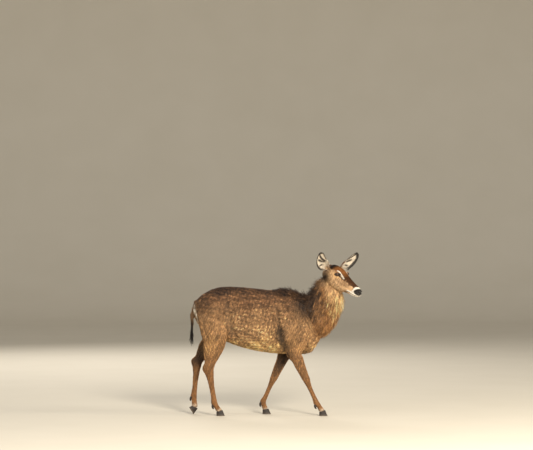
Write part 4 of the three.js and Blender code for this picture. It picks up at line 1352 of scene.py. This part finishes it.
class Coat:
    """Tufts planted evenly over the skin, each with a root, a lie, a size and its root's colour."""

    def __init__(self, skin, survey, colour):
        length, width, lift, spacing, upright = coat_sizes(survey)
        rng = np.random.default_rng(SEED)
        first, second, third = (skin.points[skin.tris[:, k]] for k in range(3))
        area = np.linalg.norm(np.cross(second - first, third - first), axis=1) / 2
        bare = np.maximum(nose_pad(survey.head), self.near_eye(survey.head))
        density = (bare < 0.5) / spacing**2
        wanted = np.cumsum(area * density[skin.tris].mean(1)) + rng.uniform()
        count = np.diff(np.floor(wanted), prepend=0).astype(int)
        face = np.repeat(np.arange(len(area)), count)
        a, b = rng.uniform(size=(2, len(face)))
        flip = a + b > 1
        a, b = np.where(flip, 1 - a, a), np.where(flip, 1 - b, b)
        self.weight = np.stack([1 - a - b, a, b], -1)
        self.corner = skin.tris[face]
        self.root = self.of(skin.points)
        self.normal = unit(self.of(survey.normals))
        flow = self.of(survey.flow)
        self.flow = unit(flow - self.normal * dot(flow, self.normal))
        self.length, self.width = self.one(length), self.one(width)
        self.lift, self.upright = self.one(lift), self.one(upright)
        self.colour = self.of(colour)
        self.uv = unwrapped(survey)[self.corner[:, 0]]
        self.head = self.of(survey.head)
        self.ear = self.one(survey.ear)
        self.share = survey.share[:, self.corner[:, 0]]
        self.part = np.array(NAMES)[survey.owner[self.corner[:, 0]]]
        self.uneven(rng)

    def of(self, values):
        """Values of the skin's points carried to the roots, by their places in their triangles."""
        return (values[self.corner] * self.weight[:, :, None]).sum(1)

    def one(self, values):
        """The same for one number at each point."""
        return self.of(values[:, None])[:, 0]

    @staticmethod
    def near_eye(local):
        """1 on the lids' rims and inside them, where no hair grows."""
        above = from_eye(local) - EYE_RADIUS
        return ((above < 2.0) | ((above < 9) & (lid_measure(local) < 1.3))).astype(float)

    def uneven(self, rng):
        """Each tuft a little unlike the next, and neighbours alike in clumps."""
        count = len(self.root)
        swirl = 0.16 * wander(self.root, 120, SEED + 11) + 0.10 * wander(self.root, 26, SEED + 12)
        swirl += rng.normal(0, 0.13, count)
        self.side = np.cross(self.flow, self.normal)
        self.flow = unit(self.flow + self.side * swirl[:, None])
        self.side = np.cross(self.flow, self.normal)
        longer = 1 + 0.16 * wander(self.root, 60, SEED + 13) + rng.uniform(-0.22, 0.22, count)
        steeper = 1 + 0.28 * wander(self.root, 34, SEED + 14) + rng.normal(0, 0.3, count)
        self.length = self.length * longer
        self.lift = self.lift * np.clip(steeper, 0.2, 2.2)
        self.width = self.width * rng.uniform(0.75, 1.25, count)
        self.sway = rng.normal(0, 0.10, count)
        spread = 0.34 - 0.06 * (self.part == "neck") - 0.12 * (self.part == "head") - 0.12 * (self.ear > 0)
        streaks = grizzle(self.root, self.share, 10, 0.5) * (self.ear == 0)
        self.light = np.exp(spread * rng.normal(0, 1, count) + streaks)

    def piece(self, name, chosen, shares, breadths, slot, bend, droop=0.0, sink=1.8):
        """One mesh of the chosen tufts.

        At a share s of its length a tuft is at root + length * (s * cos(lift) * lie + sin(lift) *
        (s - bend * s^2) * normal + sway * s^2 * across - droop * s^2 * up), with its root a little sunk. Its
        section is a low triangle that narrows to the tip.
        """
        count = int(chosen.sum())
        root, normal, flow, side = (v[chosen] for v in (self.root, self.normal, self.flow, self.side))
        numbers = (self.length, self.width, self.lift, self.sway, self.upright)
        length, width, lift, sway, upright = (v[chosen][:, None] for v in numbers)
        bend = bend * (1 - 0.8 * upright)
        droop = droop * (1 - upright)
        up = np.array([0, 0, 1.0])

        def middle_at(s, sunk=0):
            out = np.sin(lift) * (s - bend * s * s) * length - sunk
            bent = root + flow * (length * s * np.cos(lift)) + normal * out + side * (sway * s * s * length)
            return bent - up * (droop * s * s) * length

        rings = len(shares)
        rows, shade = [], []
        for s, breadth in zip(shares, breadths):
            middle = middle_at(s, sink if s == 0 else 0)
            half, high = width * breadth / 2, width * breadth * TUFT_RISE
            rows += [middle - side * half, middle + side * half, middle + normal * high]
            shade += [ROOT_SHADE + SHADE_RISE * s] * 3
        rows.append(middle_at(1))
        shade.append(TIP_SHADE)
        points = np.stack(rows, 1)
        per = points.shape[1]
        faces = [(0, 2, 1)]
        for k in range(rings - 1):
            n = 3 * k
            for p, q in ((0, 1), (1, 2), (2, 0)):
                faces += [(n + p, n + q, n + 3 + q), (n + p, n + 3 + q, n + 3 + p)]
        n = 3 * (rings - 1)
        faces += [(n, n + 1, per - 1), (n + 1, n + 2, per - 1), (n + 2, n, per - 1)]
        tris = (np.array(faces)[None] + per * np.arange(count)[:, None, None]).reshape(-1, 3)
        ob = make_object(name, Shell(points.reshape(-1, 3), tris=tris))
        colour = self.colour[chosen][:, None] * self.light[chosen][:, None, None]
        paint(ob, (colour * np.array(shade)[None, :, None]).reshape(-1, 3))
        self.patch(ob, chosen, shares, per)
        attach(ob, "root")
        return ob

    def patch(self, ob, chosen, shares, per):
        """The baking map: each tuft is a small patch at its root's place on the unwrapped skin."""
        across = np.array([-0.5, 0.5, 0.0] * len(shares) + [0.0])
        along = np.repeat(shares, 3).tolist() + [1.0]
        own = np.stack([across, np.array(along) - 0.5], -1) * TUFT_PATCH
        uv = (self.uv[chosen][:, None] + own[None]).reshape(-1, 2)
        corners = np.empty(len(ob.data.loops), np.int32)
        ob.data.loops.foreach_get("vertex_index", corners)
        layer = ob.data.uv_layers.new(name="OFBake")
        layer.uv.foreach_set("vector", uv[corners].astype(np.float32).ravel())


def paint(ob, colour):
    """Stores a colour for each point of a mesh, which its material reads as coat."""
    layer = ob.data.attributes.new("coat", "FLOAT_COLOR", "POINT")
    rgba = np.concatenate([np.clip(colour, 0, 1), np.ones((len(colour), 1))], 1)
    layer.data.foreach_set("color", rgba.astype(np.float32).ravel())


def mark_points(ob, name, values):
    """Stores one number for each point of a mesh under a name that its material reads."""
    layer = ob.data.attributes.new(name, "FLOAT", "POINT")
    layer.data.foreach_set("value", np.asarray(values, np.float32))


# Short and long tufts: the shares of the length where their sections are, and the breadths there.
SHORT = ((0, 0.45), (0.8, 1.0))
LONG = ((0, 0.34, 0.7), (0.8, 1.0, 0.66))
# Where the coat is parted into pieces: along the trunk, across the neck and along the head.
RUMP_END, LOIN_END, RIBS_END = -470, -190, 90
NECK_PARTING = -12
POLL_END = 120


def coat_pieces(coat):
    """The whole coat in pieces by place, as (object, kind of coat)."""
    x, y, _ = coat.root.T
    trunk, neck, head = ((coat.part == name) & (coat.ear == 0) for name in ("trunk", "neck", "head"))
    body = {"slot": "body_coat", "bend": 0.72}
    shaggy = {"slot": "neck_coat", "bend": 0.42, "droop": 0.16}
    face = {"slot": "face_coat", "bend": 0.8, "sink": 1.0}
    ahead = coat.head[:, 0] > POLL_END
    left = y > NECK_PARTING
    made = [
        ("coat_rump", "body", trunk & (x < RUMP_END), SHORT, body),
        ("coat_loin", "body", trunk & (x >= RUMP_END) & (x < LOIN_END), SHORT, body),
        ("coat_ribs", "body", trunk & (x >= LOIN_END) & (x < RIBS_END), SHORT, body),
        ("coat_shoulders", "body", trunk & (x >= RIBS_END), SHORT, body),
        ("coat_neck_left", "neck", neck & left, LONG, shaggy),
        ("coat_neck_right", "neck", neck & ~left, LONG, shaggy),
        ("coat_face", "face", head & ahead, SHORT, face),
        ("coat_poll", "face", head & ~ahead, SHORT, face),
        ("coat_ears", "ear", coat.ear > 0, SHORT, {"slot": "ear_fur", "bend": 0.7, "sink": 1.0}),
        ("coat_tail", "tail", coat.part == "tail", LONG, {"slot": "tail_coat", "bend": 0.6, "droop": 0.1}),
    ]
    legs = {"slot": "leg_coat", "bend": 0.8, "sink": 1.2}
    made += [("coat_" + leg.name, "leg", coat.part == leg.name, SHORT, legs) for leg in LEGS]
    return [
        (coat.piece(name, chosen, shares=shape[0], breadths=shape[1], **lie), kind)
        for name, kind, chosen, shape, lie in made
    ]


# Materials


class Socket:
    """An output of a node, with sums written as Python expressions. Each operator adds a Math node."""

    def __init__(self, tree, out):
        self.tree = tree
        self.out = out

    def math(self, operation, other=None, swapped=False):
        values = [self, other][::-1] if swapped else [self, other]
        node = self.tree.nodes.new("ShaderNodeMath")
        node.operation = operation
        for socket, value in zip(node.inputs, values):
            if isinstance(value, Socket):
                self.tree.links.new(value.out, socket)
            elif value is not None:
                socket.default_value = value
        return Socket(self.tree, node.outputs[0])

    def __add__(self, other):
        return self.math("ADD", other)

    __radd__ = __add__

    def __mul__(self, other):
        return self.math("MULTIPLY", other)

    __rmul__ = __mul__

    def __sub__(self, other):
        return self.math("SUBTRACT", other)

    def __rsub__(self, other):
        return self.math("SUBTRACT", other, swapped=True)

    def __truediv__(self, other):
        return self.math("DIVIDE", other)

    def __pow__(self, other):
        return self.math("POWER", other)

    def at_least(self, low):
        return self.math("MAXIMUM", low)

    def at_most(self, high):
        return self.math("MINIMUM", high)

    def within(self):
        """Held between 0 and 1."""
        return self.at_least(0).at_most(1)


class Finish:
    """A material on one Principled shader."""

    def __init__(self, name, roughness, **constants):
        self.material = bpy.data.materials.new(name)
        self.material.use_nodes = True
        self.tree = self.material.node_tree
        self.shader = self.tree.nodes["Principled BSDF"]
        self.shader.inputs["Roughness"].default_value = roughness
        for socket, value in constants.items():
            self.shader.inputs[socket.replace("_", " ")].default_value = value

    def node(self, kind, settings=None, output=0, **inputs):
        """Adds a node of a type, sets its settings and then its sockets, and gives one of its outputs.

        A socket is named with _ for a blank, or by its number after s.
        """
        node = self.tree.nodes.new(kind)
        for key, value in (settings or {}).items():
            setattr(node, key, value)
        for key, value in inputs.items():
            socket = node.inputs[int(key[1:]) if key[1:].isdigit() else key.replace("_", " ")]
            if isinstance(value, Socket):
                self.tree.links.new(value.out, socket)
            else:
                socket.default_value = value
        return Socket(self.tree, node.outputs[output])

    def attribute(self, name, output="Color"):
        return self.node("ShaderNodeAttribute", {"attribute_name": name}, output)

    def place(self, scale):
        """Object coordinates, drawn out by a scale along each axis."""
        coordinates = self.node("ShaderNodeTexCoord", None, "Object")
        return self.node("ShaderNodeMapping", None, 0, Vector=coordinates, Scale=scale)

    def noise(self, size, detail, scale=(1, 1, 1)):
        """Noise about size metres across."""
        settings = {"Scale": 1 / size, "Detail": detail, "Roughness": 0.55}
        return self.node("ShaderNodeTexNoise", None, 0, Vector=self.place(scale), **settings)

    def mix(self, factor, first, second, blend="MIX"):
        """A colour between two others, or the first multiplied by the second."""
        settings = {"data_type": "RGBA", "blend_type": blend}
        return self.node("ShaderNodeMix", settings, 2, s0=factor, s6=first, s7=second)

    def feed(self, socket, value):
        self.tree.links.new(value.out, self.shader.inputs[socket])

    def bump(self, height, strength, distance):
        """Relief of a height in steps of a distance in metres."""
        normal = self.node("ShaderNodeBump", None, 0, Strength=strength, Distance=distance, Height=height)
        self.feed("Normal", normal)


def rgba(colour):
    return (*colour, 1.0)


# Colours that the hair and the skin between it are multiplied by where they are dark.
HAIR_SHADE = (0.4, 0.36, 0.33)
# The skin's darker colour is painted shade for the gaps under the tufts.
SKIN_SHADE = (0.35, 0.3, 0.27)


def coat_finish(name, roughness, sheen=0.0, gloss=0.28):
    """Hair: the root's colour with fine lighter and darker hairs."""
    finish = Finish(name, roughness, Specular_IOR_Level=gloss, Sheen_Weight=sheen, Sheen_Roughness=0.45)
    strands = finish.noise(0.0016, 2)
    base = finish.attribute("coat")
    dark = finish.mix(0.45, base, rgba(HAIR_SHADE), "MULTIPLY")
    finish.feed("Base Color", finish.mix((strands - 0.3) * 2.2, dark, base))
    finish.feed("Roughness", strands * 0.25 + (roughness - 0.12))
    finish.bump(strands, 0.35, 0.0006)
    return finish.material


def skin_finish():
    """The skin under the coat: flat short fur darkened as painted shade in the tufts' gaps, and the wet black
    nose.
    """
    finish = Finish("skin", 0.8, Specular_IOR_Level=0.3)
    wet = finish.attribute("wet", "Fac")
    hairs = finish.noise(0.0022, 4, (1, 1, 0.35))
    grain = finish.noise(0.0042, 1)
    base = finish.attribute("coat")
    # Painted shade: the skin, seen only in the gaps under the tufts, is darkened.
    dark = finish.mix(0.6, base, rgba(SKIN_SHADE), "MULTIPLY")
    finish.feed("Base Color", finish.mix(hairs * 1.5 - 0.2, dark, base))
    finish.feed("Roughness", 0.82 - 0.46 * wet)
    finish.bump(hairs * (1 - wet) + grain * wet, 0.5, 0.0012)
    return finish.material


# The eye, as shares of its radius: where the iris darkens and where it ends, and the squares of the pupil's
# half length and half height.
IRIS_RIM, IRIS_END = 0.56, 0.8
PUPIL_LENGTH, PUPIL_HEIGHT = 0.16, 0.05


def eye_finish():
    """Dark brown iris round a level oval pupil, darker at its rim, with the white at its edge, all wet."""
    finish = Finish(
        "eye", 0.08, Coat_Weight=1.0, Coat_Roughness=0.02, Coat_IOR=1.45, Specular_IOR_Level=0.3
    )
    gaze = finish.attribute("gaze", "Vector")
    parts = finish.tree.nodes.new("ShaderNodeSeparateXYZ")
    finish.tree.links.new(gaze.out, parts.inputs[0])
    level, high = (Socket(finish.tree, parts.outputs[k]) for k in (0, 1))
    radius = (level * level + high * high) ** 0.5
    pupil = (level * level / PUPIL_LENGTH + high * high / PUPIL_HEIGHT) ** 0.5
    threads = finish.noise(0.0009, 3)
    iris = finish.mix(threads, rgba(tone(48, 26, 12)), rgba(tone(92, 54, 26)))
    iris = finish.mix(((radius - IRIS_RIM) * 9).within(), iris, rgba(tone(16, 10, 8)))
    iris = finish.mix(((pupil - 0.85) * 5).within(), rgba(tone(6, 5, 6)), iris)
    white = finish.mix(threads, rgba(tone(96, 76, 62)), rgba(tone(150, 128, 108)))
    finish.feed("Base Color", finish.mix(((radius - IRIS_END) * 9).within(), iris, white))
    return finish.material


def horn_finish():
    """Near-black hoof horn with fine rings parallel to the coronet and scuffed paler toes."""
    finish = Finish("horn", 0.5, Specular_IOR_Level=0.4)
    down = finish.attribute("down", "Fac")
    flaws = finish.noise(0.006, 4)
    fine = finish.noise(0.0012, 2, (1, 1, 0.25))
    rings = finish.node("ShaderNodeMath", {"operation": "SINE"}, 0, s0=down * 46 + flaws * 3)
    scuffed = ((down - 0.62) * 2.2).within() * flaws * 1.3
    colour = finish.mix(flaws, rgba(tone(24, 20, 18)), rgba(tone(52, 43, 37)))
    finish.feed("Base Color", finish.mix(scuffed.at_most(1), colour, rgba(tone(112, 98, 82))))
    finish.feed("Roughness", 0.38 + 0.3 * fine)
    finish.bump(rings * 0.4 + fine, 0.4, 0.0007)
    return finish.material


# Eyes and hooves

# The cornea's height as a share of the eye's radius.
CORNEA = 0.04


def eye_piece(side, material):
    """An eyeball with the cornea raised round its gaze."""
    word = "left" if side == LEFT else "right"
    centre = from_head(eye_place(side))
    shell = ball((0, 0, 0), 1.0, 60, 72)
    look, slit, rise = (HEAD_TURN @ way for way in lid_axes(side))
    own = shell.points @ np.stack([slit, rise, look], -1)
    dome = 1 + CORNEA * ease(0.55, 0.95, own[:, 2])
    shell.points = centre + shell.points * (EYE_RADIUS * dome)[:, None]
    ob = make_object("eyeball_" + word, shell)
    layer = ob.data.attributes.new("gaze", "FLOAT_VECTOR", "POINT")
    layer.data.foreach_set("vector", own.astype(np.float32).ravel())
    ob.data.materials.append(material)
    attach(ob, "root")
    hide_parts("eye_" + word)


# The coronet: half its length, how much narrower it is than the sole on each side, and how far it is set
# below the leg's end.
CORONET_LENGTH, CORONET_INSET, CORONET_GAP = 30, 0.5, 0.3
# How far the claws lean in at the toe, how much they narrow there, and how far their fronts are bowed.
TOE_LEAN, TOE_NARROWING, CLAW_BOW = 3, 0.3, 1.4


def claw_piece(leg, inward, word, material, sides=44, levels=16):
    """One claw: rings from the coronet down to the sole, rounded over the sole's edge, then in to its middle.

    A ring's half width is CLAW_HALF * sin(angle) * (1 - TOE_NARROWING * max(cos, 0)^2), so it narrows to
    the toe.
    """
    top_forward = unit(np.cross(leg.normal, (0, 1, 0)))
    top_forward = top_forward * (1 if top_forward @ leg.toe > 0 else -1)
    top = leg.coronet + leg.normal * CORONET_GAP
    sole = leg.coronet - leg.rise * HOOF_HEIGHT
    middle = inward * (CLAW_HALF + CLAW_CLEFT / 2)
    angle = np.arange(sides) / sides * 2 * math.pi
    c, s = np.cos(angle), -np.sin(angle)
    ahead = np.maximum(c, 0)
    taper = 1 - TOE_NARROWING * ahead**2
    y_axis = np.array([0, 1.0, 0])
    upper = top + np.outer(CORONET_LENGTH * c, top_forward)
    upper = upper + np.outer(middle + (CLAW_HALF - CORONET_INSET) * s * taper, y_axis)
    lower = sole + np.outer(np.where(c > 0, TOE, HEEL) * c, leg.toe)
    lower = lower + np.outer(middle + CLAW_HALF * s * taper - inward * TOE_LEAN * ahead, y_axis)
    share = np.concatenate([np.linspace(0, 0.94, levels), [0.985, 1.0]])[:, None, None]
    inset = np.concatenate([np.ones(levels), [0.985, 0.93]])[:, None, None]
    bow = CLAW_BOW * np.sin(math.pi * share) * (c[None, :, None] > 0)
    rings = upper[None] * (1 - share) + lower[None] * share
    centre = rings.mean(1, keepdims=True)
    rings = centre + (rings - centre) * inset - leg.toe * bow
    points = np.vstack([rings.reshape(-1, 3), rings[0].mean(0), rings[-1].mean(0)])
    points[:, 2] = np.maximum(points[:, 2], 0)
    shell = Shell(points, *ring_faces(levels + 2, sides))
    foot = "%s_%s" % (leg.name, word)
    horn_piece("hoof_" + foot, "claw_" + foot, shell, leg, material)


# Dewclaws: how far their roots are aside and behind the fetlock, and rows of distance back, down and radius.
SPUR_ASIDE, SPUR_BEHIND = 15, 20
SPUR = [(0, 0, 11), (10, 8, 11), (16, 22, 9), (17, 34, 5)]


def dewclaw_piece(leg, inward, word, material):
    """A blunt cone behind the fetlock, of round sections along a short bent line."""
    back = np.array([leg.down[2], 0, -leg.down[0]])
    back = back * (-1 if back[0] > 0 else 1)
    root = leg.fetlock + (0, inward * SPUR_ASIDE, 0) + back * SPUR_BEHIND
    rows = [(*(root + back * away + leg.down * below), r, r, r, 1, 0) for away, below, r in SPUR]
    shell = Form(rows).tube(28, 24, (4, 4))
    foot = "%s_%s" % (leg.name, word)
    horn_piece("spur_" + foot, "dewclaw_" + foot, shell, leg, material)


def horn_piece(name, node, shell, leg, material):
    """Makes a piece of horn, with its points marked by how far they are down from the coronet."""
    ob = make_object(name, shell)
    height = (shell.points - leg.coronet) @ leg.rise
    mark_points(ob, "down", np.clip(-height / HOOF_HEIGHT, 0, 1))
    ob.data.materials.append(material)
    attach(ob, "root")
    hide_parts(node)


# The animal


def build_animal():
    skin = whole_skin()
    web = Web(skin)
    normals = normals_of(skin.points, skin.tris)
    survey = Survey(skin.points, normals)
    flow = web.spread(survey.lie(), 10)
    survey.flow = unit(flow - normals * dot(flow, normals))
    colour = ear_colour(survey, body_colour(survey))
    coat = Coat(skin, survey, colour)
    ob = make_object("skin", skin)
    paint(ob, colour)
    mark_points(ob, "wet", nose_pad(survey.head) * (1 - survey.ear))
    ob.data.materials.append(skin_finish())
    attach(ob, "root")
    legs = ["leg_" + leg.name for leg in LEGS]
    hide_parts("torso", "neck", "head", "tail", "ear_left", "ear_right", *legs)
    finishes = {
        "body": coat_finish("body_hair", 0.72, 0.06),
        "neck": coat_finish("neck_hair", 0.7, 0.08),
        "face": coat_finish("face_hair", 0.76, gloss=0.15),
        "ear": coat_finish("ear_hair", 0.75, 0.05),
        "tail": coat_finish("tail_hair", 0.6),
        "leg": coat_finish("leg_hair", 0.66, 0.04),
    }
    for piece, kind in coat_pieces(coat):
        piece.data.materials.append(finishes[kind])
    eye, horn = eye_finish(), horn_finish()
    for side in (LEFT, RIGHT):
        eye_piece(side, eye)
    for leg in LEGS:
        for word, inward in (("outer", leg.side), ("inner", -leg.side)):
            claw_piece(leg, inward, word, horn)
            dewclaw_piece(leg, inward, word, horn)


# Camera, floor and light

PHOTO_WIDTH = 533
FOCAL_PIXELS = 2604
CAMERA_PLACE = np.array([-90.0, -25000.0, 2100.0])
CAMERA_DIP = 0.63 * DEG
# Studio, in metres: half the floor's width, where its sweep begins and its radius, where the wall ends, the
# middle that the lights face, and each light's name, place, size, watts and colour.
FLOOR_HALF, SWEEP_START, SWEEP_RADIUS, WALL_TOP = 60, 18, 6, 30
LIT_MIDDLE = np.array([0, 0, 0.8])
LIGHTS = [
    ("key", (2.8, -10.0, 5.0), 2.4, 1650, (1.0, 0.93, 0.81)),
    ("front", (9, -2.5, 4.2), 3, 420, (1.0, 0.92, 0.78)),
    ("fill", (-8, -6, 4), 5, 170, (0.95, 0.97, 1.0)),
    ("back", (-3, 9, 6), 5, 480, (1.0, 0.97, 0.93)),
]
SKY_COLOUR, SKY_STRENGTH = (0.92, 0.90, 0.86), 0.5


def add_camera():
    """The photograph's view: far off on the animal's right, a little above its back, looking across."""
    data = bpy.data.cameras.new("camera")
    data.sensor_width = 36
    data.lens = data.sensor_width * FOCAL_PIXELS / PHOTO_WIDTH
    data.clip_end = 200
    camera = bpy.data.objects.new("camera", data)
    camera.location = (CAMERA_PLACE + SHIFT) * MM
    camera.rotation_euler = (math.pi / 2 - CAMERA_DIP, 0, 0)
    bpy.context.scene.collection.objects.link(camera)
    bpy.context.scene.camera = camera


def add_stage():
    """A wide pale floor that sweeps up far behind the animal."""
    turn = np.linspace(0, math.pi / 2, 24)
    sweep = SWEEP_START + SWEEP_RADIUS * np.sin(turn)
    y = np.concatenate([[-FLOOR_HALF, 0], sweep, [SWEEP_START + SWEEP_RADIUS]])
    z = np.concatenate([[0, 0], SWEEP_RADIUS - SWEEP_RADIUS * np.cos(turn), [WALL_TOP]])
    x = np.array([-FLOOR_HALF, FLOOR_HALF], float)
    grid = np.stack(np.broadcast_arrays(x[None], y[:, None], z[:, None]), -1).reshape(-1, 3)
    i = np.arange(len(y) - 1) * 2
    quads = np.stack([i, i + 1, i + 3, i + 2], -1)
    floor = make_object("floor", Shell(grid / MM - SHIFT, quads))
    finish = Finish("floor", 0.9, Specular_IOR_Level=0.2)
    mottle = finish.noise(0.8, 2)
    finish.feed("Base Color", finish.mix(mottle, rgba(tone(204, 196, 180)), rgba(tone(211, 203, 188))))
    floor.data.materials.append(finish.material)


def add_light(name, place, size, watts, colour):
    """A soft square light that faces the animal's middle."""
    data = bpy.data.lights.new(name, "AREA")
    data.shape = "SQUARE"
    data.size = size
    data.energy = watts
    data.color = colour
    lamp = bpy.data.objects.new(name, data)
    lamp.location = place
    lamp.rotation_euler = Vector(unit(LIT_MIDDLE - place)).to_track_quat("-Z", "Y").to_euler()
    bpy.context.scene.collection.objects.link(lamp)


def add_lights():
    for light in LIGHTS:
        add_light(*light)
    world = bpy.data.worlds.new("studio")
    world.use_nodes = True
    sky = world.node_tree.nodes["Background"]
    sky.inputs[0].default_value = rgba(SKY_COLOUR)
    sky.inputs[1].default_value = SKY_STRENGTH
    bpy.context.scene.world = world
    bpy.context.scene.view_settings.view_transform = "Standard"


add_camera()
add_stage()
add_lights()
build_animal()
